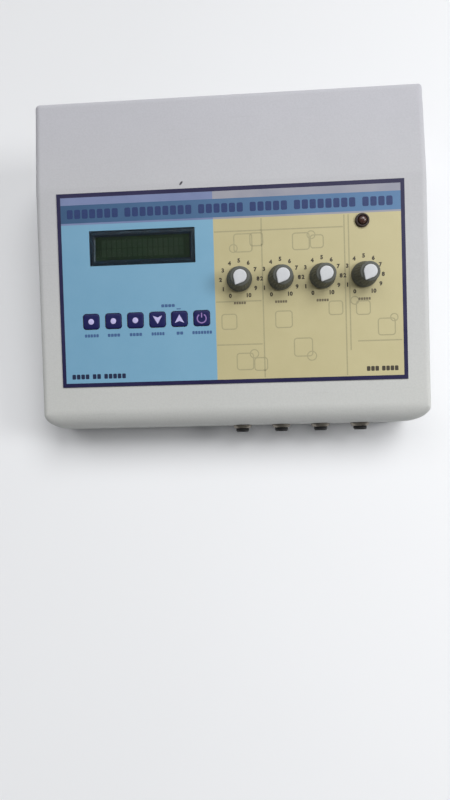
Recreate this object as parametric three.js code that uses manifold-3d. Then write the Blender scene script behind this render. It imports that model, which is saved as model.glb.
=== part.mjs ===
// Desktop four-channel TENS console: a sloping ABS instrument case with a printed front panel, a two-line
// display, six membrane keys, four intensity controls, four output jacks in the front wall and a mains
// inlet, fuse and rocker switch on a plate let into the back.
// Millimetres, +X to the user's right, +Y to the rear, +Z up, origin at the middle of the footprint on the
// surface that the feet stand on.

import * as THREE from 'three';
import { mergeVertices } from 'three/addons/utils/BufferGeometryUtils.js';
import Module from 'manifold-3d';

const wasm = await Module();
wasm.setup();

// ---------------------------------------------------------------- driving dimensions
// Case
const CASE_W = 264.2;             // overall width
const CASE_D = 223.1;            // front wall to rear edge
const JACK_REACH = 5.0;          // how far the output jacks stand out of the front wall
const FRONT_Y = -(CASE_D + JACK_REACH) / 2 + JACK_REACH;   // outer face of the front wall
const REAR_Y = FRONT_Y + CASE_D;                           // rear edge of the shells
const PANEL_SLOPE = 10;          // degrees, control panel
const REAR_SLOPE = 5.6;          // degrees, zone behind the crease
const PANEL_H0 = 45;             // height at which the panel plane meets the front wall plane
const PANEL_RUN = 164.0;         // length of the panel zone along its slope
const PANEL_CENTRE_RUN = 94.0;   // from the front wall plane to the middle of the printed panel, along the slope
const WALL = 2.8;                // shell thickness
const PART_Z = 17;               // parting line between cover and base
const SHELL_GAP = 0.2;           // between cover and base at the parting line
const BASE_Z = 4;                // underside of the base, above the surface
const R_FRONT = 12;              // roll of the front top edge
const R_SIDE = 4.5;              // roll of the side and rear top edges
const CORNER_X = 15, CORNER_Y = 9.5;   // half axes of the front corners in plan: across, and front to back
const R_CORNER_REAR = 3.2;       // plan radius of the rear corners
const CORNER_MIN = 0.9;          // no corner is tighter than this
const R_BASE = 3;                // roll of the underside's edge
// Rear plate
const PLATE_T = 2.5;
const PLATE_INSET = 10.5;        // rear edge of the shells to the plate's outer face
const GROOVE_DEEP = 1.0;
const GROOVE_PLAY = 0.3;
// Feet and case screws
const FOOT_R = 8, FOOT_H = 3.85;
const FOOT_X = 90, FOOT_Y0 = -80, FOOT_Y1 = 80;
const SCREW_X = 115, SCREW_Y0 = -92, SCREW_Y1 = 92;
// Printed panel, in panel coordinates
const PANEL_X = -0.3;            // the print sits this far off the middle of the case
const OVERLAY_W = 232.8, OVERLAY_H = 132.1, OVERLAY_T = 0.5, OVERLAY_GAP = 0.15;
// Display: standard 16 x 2 character module
const LCD_X = -58.6, LCD_Y = 28.2, LCD_W = 72, LCD_H = 23.8;
const LCD_VIEW_W = 64.5, LCD_VIEW_H = 16;
// Keys
const KEY_X = [-95.15, -79.85, -64.75, -49.6, -34.7, -19.6];
const KEY_Y = -21.4, KEY_W = 11, KEY_H = 10.4, KEY_R = 2;
const KEY_TRAVEL = 0.5;
// Intensity controls
const DIAL_X = [6.4, 33.9, 61.4, 88.9];
const DIAL_Y = 3.8;
const KNOB_R = 8.5, KNOB_TOP_R = 6.5, KNOB_Z0 = 1.1, KNOB_H = 13.4;
const POINTER_ZERO = 150;        // pointer at zero: degrees anticlockwise from straight up the panel
const SHAFT_R = 2.95;
const BUSH_R = 3.9, BUSH_HOLE_R = 4.3, BUSH_BORE_R = 3.25;
// Indicator
const LED_X = 88.4, LED_Y = 39.6;
// Output jacks (6.35 mm)
const JACK_X = DIAL_X.map((x) => x + PANEL_X);   // each jack stands below its control
const JACK_Z = 27;
const JACK_BORE_R = 3.3, JACK_BUSH_R = 4.6;
const JACK_NUT_R = 6.6;

// ---------------------------------------------------------------- small solid kit
const D2R = Math.PI / 180;
const V = (x, y, z) => new THREE.Vector3(x, y, z);

// A closed geometry as a solid: only positions, shared vertices merged, degenerate triangles dropped, faces out.
function solid(geometry) {
  let g = geometry.clone();
  for (const a of Object.keys(g.attributes)) if (a !== 'position') g.deleteAttribute(a);
  g = mergeVertices(g, 1e-4);
  const p = g.attributes.position, ix = g.index.array, tri = [];
  let vol = 0;
  const a = V(), b = V(), c = V();
  for (let i = 0; i < ix.length; i += 3) {
    if (ix[i] === ix[i + 1] || ix[i + 1] === ix[i + 2] || ix[i] === ix[i + 2]) continue;
    a.fromBufferAttribute(p, ix[i]); b.fromBufferAttribute(p, ix[i + 1]); c.fromBufferAttribute(p, ix[i + 2]);
    vol += a.dot(b.clone().cross(c));
    tri.push(ix[i], ix[i + 1], ix[i + 2]);
  }
  if (vol < 0) for (let i = 0; i < tri.length; i += 3) [tri[i + 1], tri[i + 2]] = [tri[i + 2], tri[i + 1]];
  return new wasm.Manifold(new wasm.Mesh({
    numProp: 3, vertProperties: new Float32Array(p.array), triVerts: new Uint32Array(tri),
  }));
}

// A solid back to a geometry.
function shape(manifold) {
  const m = manifold.getMesh();
  const g = new THREE.BufferGeometry();
  g.setAttribute('position', new THREE.BufferAttribute(new Float32Array(m.vertProperties), 3));
  g.setIndex(new THREE.BufferAttribute(new Uint32Array(m.triVerts), 1));
  g.computeVertexNormals();
  return g;
}

const at = (g, x, y, z) => g.clone().translate(x, y, z);
const cut = (first, ...rest) => rest.reduce((s, r) => s.subtract(solid(r)), solid(first));
const join = (first, ...rest) => rest.reduce((s, r) => s.add(solid(r)), solid(first));

// Upright cylinder from z0 to z1.
function rod(r, z0, z1, n = 20, turn = 0) {
  return new THREE.CylinderGeometry(r, r, z1 - z0, n).rotateX(Math.PI / 2).rotateZ(turn).translate(0, 0, (z0 + z1) / 2);
}

// Box from one corner to the other.
function block(x0, x1, y0, y1, z0, z1) {
  return new THREE.BoxGeometry(x1 - x0, y1 - y0, z1 - z0).translate((x0 + x1) / 2, (y0 + y1) / 2, (z0 + z1) / 2);
}

// Revolved profile about Z: [[r, z], ...]; a profile off the axis closes on itself.
function turned(profile, n = 20) {
  const pts = profile.map(([r, z]) => new THREE.Vector2(r, z));
  if (profile[0][0] > 1e-6) pts.push(pts[0].clone());
  return new THREE.LatheGeometry(pts, n).rotateX(Math.PI / 2);
}

// Rounded rectangle outline, anticlockwise from the lower right corner's arc.
function roundRect(w, h, r, n = 4) {
  const out = [];
  for (const [cx, cy, a0] of [[w / 2 - r, -h / 2 + r, -90], [w / 2 - r, h / 2 - r, 0], [-w / 2 + r, h / 2 - r, 90], [-w / 2 + r, -h / 2 + r, 180]]) {
    for (let i = 0; i <= n; i++) {
      const a = (a0 + 90 * i / n) * D2R;
      out.push([cx + r * Math.cos(a), cy + r * Math.sin(a)]);
    }
  }
  return out;
}

// Prism of a flat outline along Z.
function prism(outline, z0, z1) {
  const s = new THREE.Shape(outline.map(([x, y]) => new THREE.Vector2(x, y)));
  return new THREE.ExtrudeGeometry(s, { depth: z1 - z0, bevelEnabled: false }).translate(0, 0, z0);
}

// Prism whose outline is given in Y and Z, along X.
function prismX(outline, x0, x1) {
  return prism(outline, x0, x1).applyMatrix4(new THREE.Matrix4().set(0, 0, 1, 0, 1, 0, 0, 0, 0, 1, 0, 0, 0, 0, 0, 1));
}

// ---------------------------------------------------------------- case surfaces
const tanP = Math.tan(PANEL_SLOPE * D2R), tanR = Math.tan(REAR_SLOPE * D2R);
const CREASE_Y = FRONT_Y + PANEL_RUN * Math.cos(PANEL_SLOPE * D2R);
const CREASE_Z = PANEL_H0 + PANEL_RUN * Math.sin(PANEL_SLOPE * D2R);
const roofZ = (y) => (y <= CREASE_Y ? PANEL_H0 + (y - FRONT_Y) * tanP : CREASE_Z + (y - CREASE_Y) * tanR);

// Plan outline of the case drawn in by `side`, `front` and `rear`, anticlockwise, as { x, y, r }: the point and the roll
// radius of the top edge there. The side walls have a point at the crease.
function planRing(side, front, rear, segF = 5, segR = 3) {
  const x1 = CASE_W / 2 - side, y0 = FRONT_Y + front, y1 = REAR_Y - rear;
  const ax = Math.max(CORNER_X - side, CORNER_MIN), ay = Math.max(CORNER_Y - front, CORNER_MIN);
  const rr = Math.max(R_CORNER_REAR - Math.max(side, rear), CORNER_MIN);
  const out = [];
  const arc = (cx, cy, rx, ry, a0, n, roll) => {
    for (let i = 0; i <= n; i++) {
      const a = (a0 + 90 * i / n) * D2R;
      out.push({ x: cx + rx * Math.cos(a), y: cy + ry * Math.sin(a), r: roll(i / n) });
    }
  };
  const ease = (t) => t * t * (3 - 2 * t);
  arc(x1 - ax, y0 + ay, ax, ay, -90, segF, (t) => R_FRONT + (R_SIDE - R_FRONT) * ease(t));
  out.push({ x: x1, y: CREASE_Y, r: R_SIDE });
  arc(x1 - rr, y1 - rr, rr, rr, 0, segR, () => R_SIDE);
  arc(-x1 + rr, y1 - rr, rr, rr, 90, segR, () => R_SIDE);
  out.push({ x: -x1, y: CREASE_Y, r: R_SIDE });
  arc(-x1 + ax, y0 + ay, ax, ay, 180, segF, (t) => R_SIDE + (R_FRONT - R_SIDE) * ease(t));
  return out;
}

// Closed solid under the roof, from z0 up, with the top edge rolled over. d shrinks it, drop lowers the roof.
function hood(d, drop, z0, rearExtra = 0, steps = 4, segF = 5, segR = 3) {
  const ring = planRing(d, d, d - rearExtra, segF, segR);
  const n = ring.length;
  const rows = [ring.map((q) => [q.x, q.y, z0])];
  const rollSide = Math.max(R_SIDE - d, 0.8), rollFront = Math.max(R_FRONT - d, 0.8);
  for (let k = 0; k <= steps; k++) {
    const a = (k / steps) * Math.PI / 2, c = 1 - Math.cos(a);
    rows.push(planRing(d + rollSide * c, d + rollFront * c, d - rearExtra + rollSide * c, segF, segR)
      .map((q) => [q.x, q.y, roofZ(q.y) - drop - Math.max(q.r - d, 0.8) * (1 - Math.sin(a))]));
  }
  const pos = [], idx = [];
  for (const row of rows) for (const v of row) pos.push(...v);
  for (let k = 0; k + 1 < rows.length; k++) {
    for (let i = 0; i < n; i++) {
      const j = (i + 1) % n, a = k * n + i, b = k * n + j, c = a + n, e = b + n;
      idx.push(a, b, e, a, e, c);
    }
  }
  const top = rows[rows.length - 1], base = (rows.length - 1) * n;
  // The flat top is two planes that meet at the crease.
  const iR = ring.findIndex((q) => q.y === CREASE_Y && q.x > 0), iL = ring.findIndex((q) => q.y === CREASE_Y && q.x < 0);
  const rear = [], front = [];
  for (let i = iR; i <= iL; i++) rear.push(i);
  for (let i = iL; i < n; i++) front.push(i);
  for (let i = 0; i <= iR; i++) front.push(i);
  for (const part of [rear, front]) {
    const flat = part.map((i) => new THREE.Vector2(top[i][0], top[i][1]));
    for (const [a, b, c] of THREE.ShapeUtils.triangulateShape(flat, [])) idx.push(base + part[a], base + part[b], base + part[c]);
  }
  const flat0 = rows[0].map(([x, y]) => new THREE.Vector2(x, y));
  for (const [a, b, c] of THREE.ShapeUtils.triangulateShape(flat0, [])) idx.push(c, b, a);
  const g = new THREE.BufferGeometry();
  g.setAttribute('position', new THREE.BufferAttribute(new Float32Array(pos), 3));
  g.setIndex(idx);
  return g;
}

// Closed tray blank from z0 to z1 with a rolled lower edge.
function tray(d, z0, z1, roll, rearExtra = 0, steps = 3, segF = 5, segR = 3) {
  const rows = [];
  const level = (inset, z) => planRing(d + inset, d + inset, d - rearExtra + inset, segF, segR).map((q) => [q.x, q.y, z]);
  for (let k = steps; k >= 0; k--) {
    const a = (k / steps) * Math.PI / 2;
    rows.push(level(roll * (1 - Math.cos(a)), z0 + roll * (1 - Math.sin(a))));
  }
  rows.push(level(0, z1));
  const n = rows[0].length;
  const pos = [], idx = [];
  for (const row of rows) for (const v of row) pos.push(...v);
  for (let k = 0; k + 1 < rows.length; k++) {
    for (let i = 0; i < n; i++) {
      const j = (i + 1) % n, a = k * n + i, b = k * n + j, c = a + n, e = b + n;
      idx.push(a, b, e, a, e, c);
    }
  }
  const last = (rows.length - 1) * n;
  for (const [row, off, flip] of [[rows[0], 0, true], [rows[rows.length - 1], last, false]]) {
    const flat = row.map(([x, y]) => new THREE.Vector2(x, y));
    for (const [a, b, c] of THREE.ShapeUtils.triangulateShape(flat, [])) idx.push(...(flip ? [off + c, off + b, off + a] : [off + a, off + b, off + c]));
  }
  const g = new THREE.BufferGeometry();
  g.setAttribute('position', new THREE.BufferAttribute(new Float32Array(pos), 3));
  g.setIndex(idx);
  return g;
}

// ---------------------------------------------------------------- scene graph
const unit = new THREE.Group();
unit.name = 'tens_unit';

// Panel coordinates: origin at the middle of the printed panel on the case surface, +x right, +y up the slope,
// +z out of the panel.
const panel = new THREE.Group();
panel.name = 'panel_frame';
panel.position.set(PANEL_X, FRONT_Y + PANEL_CENTRE_RUN * Math.cos(PANEL_SLOPE * D2R), PANEL_H0 + PANEL_CENTRE_RUN * Math.sin(PANEL_SLOPE * D2R));
panel.rotation.x = PANEL_SLOPE * D2R;
panel.updateMatrix();
unit.add(panel);
const onPanel = (g) => g.clone().applyMatrix4(panel.matrix);

const COLOUR = {
  case: [0xd2d3d3, 0.55, 0], plate: [0xb9bcbe, 0.5, 0.1], rubber: [0x1c1c1d, 0.9, 0], screw: [0x8f9194, 0.35, 1],
  print: [0x86a9c2, 0.45, 0], key: [0x2b2e63, 0.45, 0], membrane: [0xd9d4c2, 0.6, 0], window: [0x2b3434, 0.12, 0],
  lcdFrame: [0x15181a, 0.5, 0.4], lcdGlass: [0x2c3a1c, 0.15, 0], board: [0x1f5c36, 0.6, 0], knob: [0x55585a, 0.6, 0],
  cap: [0xe6e6ea, 0.45, 0], steel: [0xb4b6b8, 0.35, 1], pot: [0x9a9c9c, 0.4, 0.8], nickel: [0xa9abab, 0.3, 1],
  black: [0x161616, 0.55, 0], led: [0x4a1712, 0.25, 0], core: [0x6b6e72, 0.55, 0.6],
};
function add(parent, name, geometry, [color, roughness, metalness]) {
  const mesh = new THREE.Mesh(geometry, new THREE.MeshStandardMaterial({ color, roughness, metalness }));
  mesh.name = name;
  parent.add(mesh);
  return mesh;
}

// ---------------------------------------------------------------- case shells
const GY0 = REAR_Y - PLATE_INSET - PLATE_T - GROOVE_PLAY, GY1 = REAR_Y - PLATE_INSET + GROOVE_PLAY;   // groove along Y
const innerRoof = (y) => roofZ(y) - WALL;
{
  let cover = solid(hood(0, 0, PART_Z)).subtract(solid(hood(WALL, WALL, PART_Z - 5, 12, 2, 3, 1)));
  // Bosses that the case screws bite into.
  for (const x of [-SCREW_X, SCREW_X]) {
    for (const y of [SCREW_Y0, SCREW_Y1]) {
      cover = cover.add(solid(at(rod(4.6, 13.4, innerRoof(y) + 1.2, 12), x, y, 0)));
      cover = cover.subtract(solid(at(rod(1.8, 12, 30, 8), x, y, 0)));
    }
  }
  // Ribs tie each boss to the side wall.
  for (const s of [-1, 1]) {
    for (const y of [SCREW_Y0, SCREW_Y1]) {
      const x0 = SCREW_X + 4, x1 = CASE_W / 2 - WALL + 0.5;
      cover = cover.add(solid(block(s > 0 ? x0 : -x1, s > 0 ? x1 : -x0, y - 1, y + 1, PART_Z + 1.5, innerRoof(y - 1) + 0.5)));
    }
  }
  // Groove for the rear plate.
  cover = cover.subtract(solid(block(-CASE_W / 2 + WALL - GROOVE_DEEP, CASE_W / 2 - WALL + GROOVE_DEEP, GY0, GY1, PART_Z - 5, innerRoof(GY0) + GROOVE_DEEP)));
  // Display window, keypad pocket, control and indicator holes.
  cover = cover.subtract(solid(onPanel(at(block(-LCD_W / 2 - 0.3, LCD_W / 2 + 0.3, -LCD_H / 2 - 0.3, LCD_H / 2 + 0.3, -6, 3), LCD_X, LCD_Y, 0))));
  const kx = (KEY_X[0] + KEY_X[5]) / 2;
  cover = cover.subtract(solid(onPanel(at(prism(roundRect(92, 17, 2), -1.6, 3), kx, KEY_Y, 0))));
  for (const x of DIAL_X) cover = cover.subtract(solid(onPanel(at(rod(BUSH_HOLE_R, -6, 3, 16), x, DIAL_Y, 0))));
  cover = cover.subtract(solid(onPanel(at(rod(4.1, -6, 3, 16), LED_X, LED_Y, 0))));
  // Output jack holes in the front wall.
  for (const x of JACK_X) cover = cover.subtract(solid(at(rod(JACK_BUSH_R + 0.3, -8, 8, 16).rotateX(Math.PI / 2), x, FRONT_Y, JACK_Z)));
  add(unit, 'top_cover', shape(cover), COLOUR.case);

  let base = solid(tray(0, BASE_Z, PART_Z - SHELL_GAP, R_BASE)).subtract(solid(tray(WALL, BASE_Z + WALL, PART_Z + 5, 0.8, 12, 1, 3, 1)));
  base = base.subtract(solid(block(-CASE_W / 2 + WALL - GROOVE_DEEP, CASE_W / 2 - WALL + GROOVE_DEEP, GY0, GY1, BASE_Z + WALL - GROOVE_DEEP, PART_Z + 5)));
  for (const x of [-SCREW_X, SCREW_X]) {
    for (const y of [SCREW_Y0, SCREW_Y1]) {
      base = base.add(solid(at(rod(6.4, BASE_Z + 1, 13, 12), x, y, 0)));
      base = base.subtract(solid(at(rod(3.9, BASE_Z - 1, 9, 12), x, y, 0)));
      base = base.subtract(solid(at(rod(2, 8, 15, 8), x, y, 0)));
    }
  }
  // Posts under the main board, and pads under the mains transformer.
  for (const [x, y] of [[-8, -52], [98, -52], [-8, 44], [98, 44]]) {
    base = base.add(solid(at(rod(3.2, BASE_Z + 1, 11.7, 8), x, y, 0)));
  }
  for (const [x, y] of [[-102, 40], [-46, 40]]) base = base.add(solid(at(rod(4, BASE_Z + 1, 9.7, 8), x, y, 0)));
  add(unit, 'bottom_base', shape(base), COLOUR.case);
}

for (const [name, x, y] of [['foot_front_left', -FOOT_X, FOOT_Y0], ['foot_front_right', FOOT_X, FOOT_Y0], ['foot_rear_left', -FOOT_X, FOOT_Y1], ['foot_rear_right', FOOT_X, FOOT_Y1]]) {
  const foot = add(unit, name, shape(solid(turned([[0, 0], [7.2, 0], [FOOT_R, FOOT_H], [0, FOOT_H]], 20))), COLOUR.rubber);
  foot.position.set(x, y, 0);
}

for (const [name, x, y] of [['case_screw_front_left', -SCREW_X, SCREW_Y0], ['case_screw_front_right', SCREW_X, SCREW_Y0], ['case_screw_rear_left', -SCREW_X, SCREW_Y1], ['case_screw_rear_right', SCREW_X, SCREW_Y1]]) {
  // Pan head with a cross recess, shank up into the boss.
  const body = join(turned([[0, 6.2], [2.4, 6.2], [3.2, 6.9], [3.2, 8.7], [0, 8.7]], 12), rod(1.45, 8.5, 27, 6));
  const recess = body.subtract(solid(block(-1.7, 1.7, -0.4, 0.4, 6, 7.5))).subtract(solid(block(-0.4, 0.4, -1.7, 1.7, 6, 7.5)));
  add(unit, name, shape(recess), COLOUR.screw).position.set(x, y, 0);
}

// ---------------------------------------------------------------- rear plate and mains hardware
const PY = REAR_Y - PLATE_INSET;                 // outer face of the plate
const plateHW = CASE_W / 2 - WALL + GROOVE_DEEP - GROOVE_PLAY;
const INLET_X = -82, ROCKER_X = -49, FUSE_X = -22, MAINS_Z = 38;
{
  let plate = solid(block(-plateHW, plateHW, PY - PLATE_T, PY, BASE_Z + WALL - GROOVE_DEEP + 0.3, innerRoof(GY0) + GROOVE_DEEP - 0.4));
  plate = plate.subtract(solid(block(INLET_X - 13.9, INLET_X + 13.9, PY - 5, PY + 2, MAINS_Z - 10.3, MAINS_Z + 10.3)));
  plate = plate.subtract(solid(block(ROCKER_X - 6.8, ROCKER_X + 6.8, PY - 5, PY + 2, MAINS_Z - 9.9, MAINS_Z + 9.9)));
  plate = plate.subtract(solid(at(rod(6.4, -6, 6, 20).rotateX(Math.PI / 2), FUSE_X, PY, MAINS_Z)));
  add(unit, 'rear_panel', shape(plate), COLOUR.plate);
}

// Turns a piece modelled along +Z so that +Z points out of the back (+Y) and its +Y points up.
const rearward = (g) => g.clone().applyMatrix4(new THREE.Matrix4().set(-1, 0, 0, 0, 0, 0, 1, 0, 0, 1, 0, 0, 0, 0, 0, 1));

{
  // Three-pin appliance inlet, earth pin raised, lower corners of the cavity cut off.
  const cavity = [[-12, 8.2], [-12, -4.4], [-8.2, -8.2], [8.2, -8.2], [12, -4.4], [12, 8.2]];
  let inlet = solid(prism(roundRect(31, 24.4, 2, 3), 0.3, 3)).add(solid(block(-13.5, 13.5, -9.9, 9.9, -20, 1)));
  inlet = inlet.subtract(solid(prism(cavity, -13.6, 4)));
  for (const [x, y] of [[-7, -2], [7, -2], [0, 2]]) inlet = inlet.add(solid(block(x - 1, x + 1, y - 2, y + 2, -14.5, -1.6)));
  for (const x of [-7, 0, 7]) inlet = inlet.add(solid(block(x - 2.4, x + 2.4, -0.4, 0.4, -28, -19)));
  add(unit, 'mains_inlet', rearward(shape(inlet)), COLOUR.black).position.set(INLET_X, PY, MAINS_Z);

  let frame = solid(prism(roundRect(15, 21, 1.5, 3), 0.3, 2.2)).add(solid(block(-6.5, 6.5, -9.5, 9.5, -13, 1)));
  frame = frame.subtract(solid(block(-5.6, 5.6, -8.9, 8.9, -7.2, 3)));
  for (const y of [-6, 6]) frame = frame.add(solid(block(-2.4, 2.4, y - 0.4, y + 0.4, -20, -12)));
  add(unit, 'rocker_frame', rearward(shape(frame)), COLOUR.black).position.set(ROCKER_X, PY, MAINS_Z);

  // Rocker, pivoted 1 mm outside the plate's face, lower half pressed in.
  const paddle = prismX([[3.4, -8], [2.4, -4], [2.0, 0], [2.4, 4], [3.4, 8], [1.2, 8.1], [-3.4, 5.6], [-5.0, 2.5], [-5.0, -2.5], [-3.4, -5.6], [1.2, -8.1]], -5.2, 5.2);
  const rocker = add(unit, 'rocker_button', paddle, COLOUR.black);
  rocker.position.set(ROCKER_X, PY + 1.0, MAINS_Z);
  rocker.rotation.x = -10 * D2R;

  const holder = cut(turned([[0, -34], [4, -34], [6, -32], [6, 0.3], [7.6, 0.3], [7.6, 1.6], [7.0, 2.4], [0, 2.4]], 14), rod(5.0, -30, 4, 14));
  const tag = holder.add(solid(block(-2, 2, -0.4, 0.4, -42, -33)));
  add(unit, 'fuse_holder', rearward(shape(tag)), COLOUR.black).position.set(FUSE_X, PY, MAINS_Z);
  const cap = cut(turned([[0, -26], [2.6, -26], [2.6, -8], [4.5, -8], [4.5, 2.7], [5.9, 2.7], [5.9, 6.6], [5.2, 7.4], [0, 7.4]], 14), block(-4.2, 4.2, -0.6, 0.6, 6.0, 9));
  add(unit, 'fuse_cap', rearward(shape(cap)), COLOUR.black).position.set(FUSE_X, PY, MAINS_Z);
}

// ---------------------------------------------------------------- inside the case
{
  // Frame transformer: laminated core standing on its two feet, with the winding around the middle.
  const core = join(block(-22, 22, -14, 14, 10, 47), block(-34, 34, -9, 9, 10, 11.6), block(-15, 15, -23, 23, 15, 42));
  add(unit, 'mains_transformer', shape(core), COLOUR.core).position.set(-74, 40, 0);
  const board = block(-60, 60, -54, 54, 12, 13.6);
  const parts = join(board, block(-50, -34, -40, -14, 13.5, 30), block(-26, -10, -40, -14, 13.5, 30), block(-2, 14, -40, -14, 13.5, 30), block(22, 38, -40, -14, 13.5, 30),
    at(rod(6.5, 13.5, 33, 12), -44, 22, 0), at(rod(6.5, 13.5, 33, 12), -28, 22, 0), block(-4, 32, 14, 24, 13.5, 17.5), block(42, 50, 4, 40, 13.5, 30));
  add(unit, 'main_board', shape(parts), COLOUR.board).position.set(45, -4, 0);
}

// ---------------------------------------------------------------- printed panel, keys and display
const OZ0 = OVERLAY_GAP, OZ1 = OVERLAY_GAP + OVERLAY_T;
{
  let sheet = solid(block(-OVERLAY_W / 2, OVERLAY_W / 2, -OVERLAY_H / 2, OVERLAY_H / 2, OZ0, OZ1));
  sheet = sheet.subtract(solid(at(block(-LCD_W / 2, LCD_W / 2, -LCD_H / 2, LCD_H / 2, -1, 3), LCD_X, LCD_Y, 0)));
  for (const x of KEY_X) sheet = sheet.subtract(solid(at(prism(roundRect(KEY_W + 0.6, KEY_H + 0.6, KEY_R + 0.3, 2), -1, 3), x, KEY_Y, 0)));
  for (const x of DIAL_X) sheet = sheet.subtract(solid(at(rod(BUSH_HOLE_R, -1, 3, 16), x, DIAL_Y, 0)));
  sheet = sheet.subtract(solid(at(rod(4.1, -1, 3, 16), LED_X, LED_Y, 0)));
  add(panel, 'front_overlay', shape(sheet), COLOUR.print);

  add(panel, 'keypad_membrane', prism(roundRect(91.2, 16.2, 1.7), -1.45, -1.0), COLOUR.membrane).position.set((KEY_X[0] + KEY_X[5]) / 2, KEY_Y, 0);
  KEY_X.forEach((x, i) => {
    add(panel, `key_${i + 1}`, prism(roundRect(KEY_W, KEY_H, KEY_R, 3), -0.3, 1.1), COLOUR.key).position.set(x, KEY_Y, 0);
  });

  add(panel, 'lcd_window', block(-LCD_W / 2 + 0.3, LCD_W / 2 - 0.3, -LCD_H / 2 + 0.3, LCD_H / 2 - 0.3, OZ0, OZ1 - 0.1), COLOUR.window).position.set(LCD_X, LCD_Y, 0);
  const w = LCD_W / 2, h = LCD_H / 2;
  const bezel = cut(block(-w, w, -h, h, -7, -0.15), block(-w + 0.8, w - 0.8, -h + 0.8, h - 0.8, -9, -0.95), block(-LCD_VIEW_W / 2, LCD_VIEW_W / 2, -LCD_VIEW_H / 2, LCD_VIEW_H / 2, -3, 1));
  add(panel, 'lcd_frame', shape(bezel), COLOUR.lcdFrame).position.set(LCD_X, LCD_Y, 0);
  add(panel, 'lcd_glass', block(-w + 1.1, w - 1.1, -h + 1.1, h - 1.1, -3.9, -1.25), COLOUR.lcdGlass).position.set(LCD_X, LCD_Y, 0);
  add(panel, 'lcd_board', shape(join(block(-40, 40, -18, 18, -8.9, -7.3), block(-20, 20, -13, -5, -13, -8.8))), COLOUR.board).position.set(LCD_X, LCD_Y, 0);
}

// ---------------------------------------------------------------- intensity controls
// Direction of the pointer at zero, on the panel: lower left.
const pointer = (90 + POINTER_ZERO) * D2R;
DIAL_X.forEach((x, i) => {
  const n = i + 1;
  // Potentiometer: round can with a threaded bush through the panel and three tags.
  let can = solid(turned([[0, -13], [8.4, -13], [8.4, -3.1], [BUSH_R, -3.1], [BUSH_R, 3.2], [0, 3.2]], 16));
  can = can.add(solid(block(-6.5, 6.5, -15, -6, -11.2, -10.2)));
  can = can.subtract(solid(rod(BUSH_BORE_R, -8, 5, 16)));
  add(panel, `pot_body_${n}`, shape(can), COLOUR.pot).position.set(x, DIAL_Y, 0);
  add(panel, `pot_nut_${n}`, shape(cut(rod(6.2, OZ1 + 0.15, OZ1 + 2.1, 6), rod(4.3, -2, 5, 12))), COLOUR.nickel).position.set(x, DIAL_Y, 0);
  add(panel, `pot_shaft_${n}`, rod(SHAFT_R, -7.6, 11.8, 12), COLOUR.steel).position.set(x, DIAL_Y, 0);

  // Knob: flared skirt, tapered grip, hollow underneath for the nut, blind bore for the shaft.
  const z0 = KNOB_Z0, z1 = KNOB_Z0 + KNOB_H;
  const grip = turned([[0, z0 + 3.2], [7.3, z0 + 3.2], [7.3, z0], [KNOB_R, z0], [KNOB_R, z0 + 2.2], [7.9, z0 + 3.0], [KNOB_TOP_R, z1 - 0.6], [KNOB_TOP_R - 0.6, z1], [0, z1]], 20);
  const knob = cut(grip, rod(SHAFT_R + 0.35, z0 - 1, 12.1, 12));
  add(panel, `knob_${n}`, shape(knob), COLOUR.knob).position.set(x, DIAL_Y, 0);
  // Cap: round button drawn out to a point that reaches the rim.
  const rc = 4.3, tip = 6.3, touch = Math.acos(rc / tip), outline = [];
  const steps = 10, from = pointer + touch, sweep = 2 * Math.PI - 2 * touch;
  for (let k = 0; k <= steps; k++) outline.push([rc * Math.cos(from + sweep * k / steps), rc * Math.sin(from + sweep * k / steps)]);
  outline.push([tip * Math.cos(pointer), tip * Math.sin(pointer)]);
  add(panel, `knob_cap_${n}`, prism(outline, z1 + 0.15, z1 + 1.1), COLOUR.cap).position.set(x, DIAL_Y, 0);
});

// Indicator: domed lamp in a clip-in collar.
add(panel, 'led_collar', shape(cut(turned([[0, -5], [3.8, -5], [3.8, OZ1 + 0.15], [4.65, OZ1 + 0.15], [4.65, OZ1 + 0.9], [4.2, OZ1 + 1.5], [0, OZ1 + 1.5]], 14), rod(3.2, -8, 5, 14))), COLOUR.black).position.set(LED_X, LED_Y, 0);
add(panel, 'led_lamp', shape(solid(turned([[0, -9], [2.85, -9], [2.85, 1.6], [2.2, 3.0], [0, 3.7]], 14))), COLOUR.led).position.set(LED_X, LED_Y, 0);

// ---------------------------------------------------------------- output jacks
// Modelled along +Z, then turned so that +Z points out of the front (-Y) and +Y points up.
const forward = (g) => g.clone().applyMatrix4(new THREE.Matrix4().set(1, 0, 0, 0, 0, 0, -1, 0, 0, 1, 0, 0, 0, 0, 0, 1));
JACK_X.forEach((x, i) => {
  const n = i + 1;
  let jack = solid(block(-7.5, 7.5, -6.5, 6.5, -27, -WALL - 0.3)).add(solid(turned([[0, -5], [JACK_BUSH_R, -5], [JACK_BUSH_R, JACK_REACH - 0.5], [JACK_BUSH_R - 0.5, JACK_REACH], [0, JACK_REACH]], 16)));
  jack = jack.subtract(solid(rod(JACK_BORE_R, -24, JACK_REACH + 2, 16)));
  for (const y of [-3.5, 3.5]) jack = jack.add(solid(block(-1.2, 1.2, y - 0.4, y + 0.4, -32, -26)));
  add(unit, `jack_${n}`, forward(shape(jack)), COLOUR.black).position.set(x, FRONT_Y, JACK_Z);
  const nut = cut(turned([[0, 0.2], [JACK_NUT_R, 0.2], [JACK_NUT_R, 1.1], [5.7, 2.9], [0, 2.9]], 16), rod(JACK_BUSH_R + 0.3, -2, 6, 16));
  add(unit, `jack_nut_${n}`, forward(shape(nut)), COLOUR.nickel).position.set(x, FRONT_Y, JACK_Z);
});

export default unit;
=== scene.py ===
import math

import bmesh
import bpy
import numpy as np
from mathutils import Matrix, Vector


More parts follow.
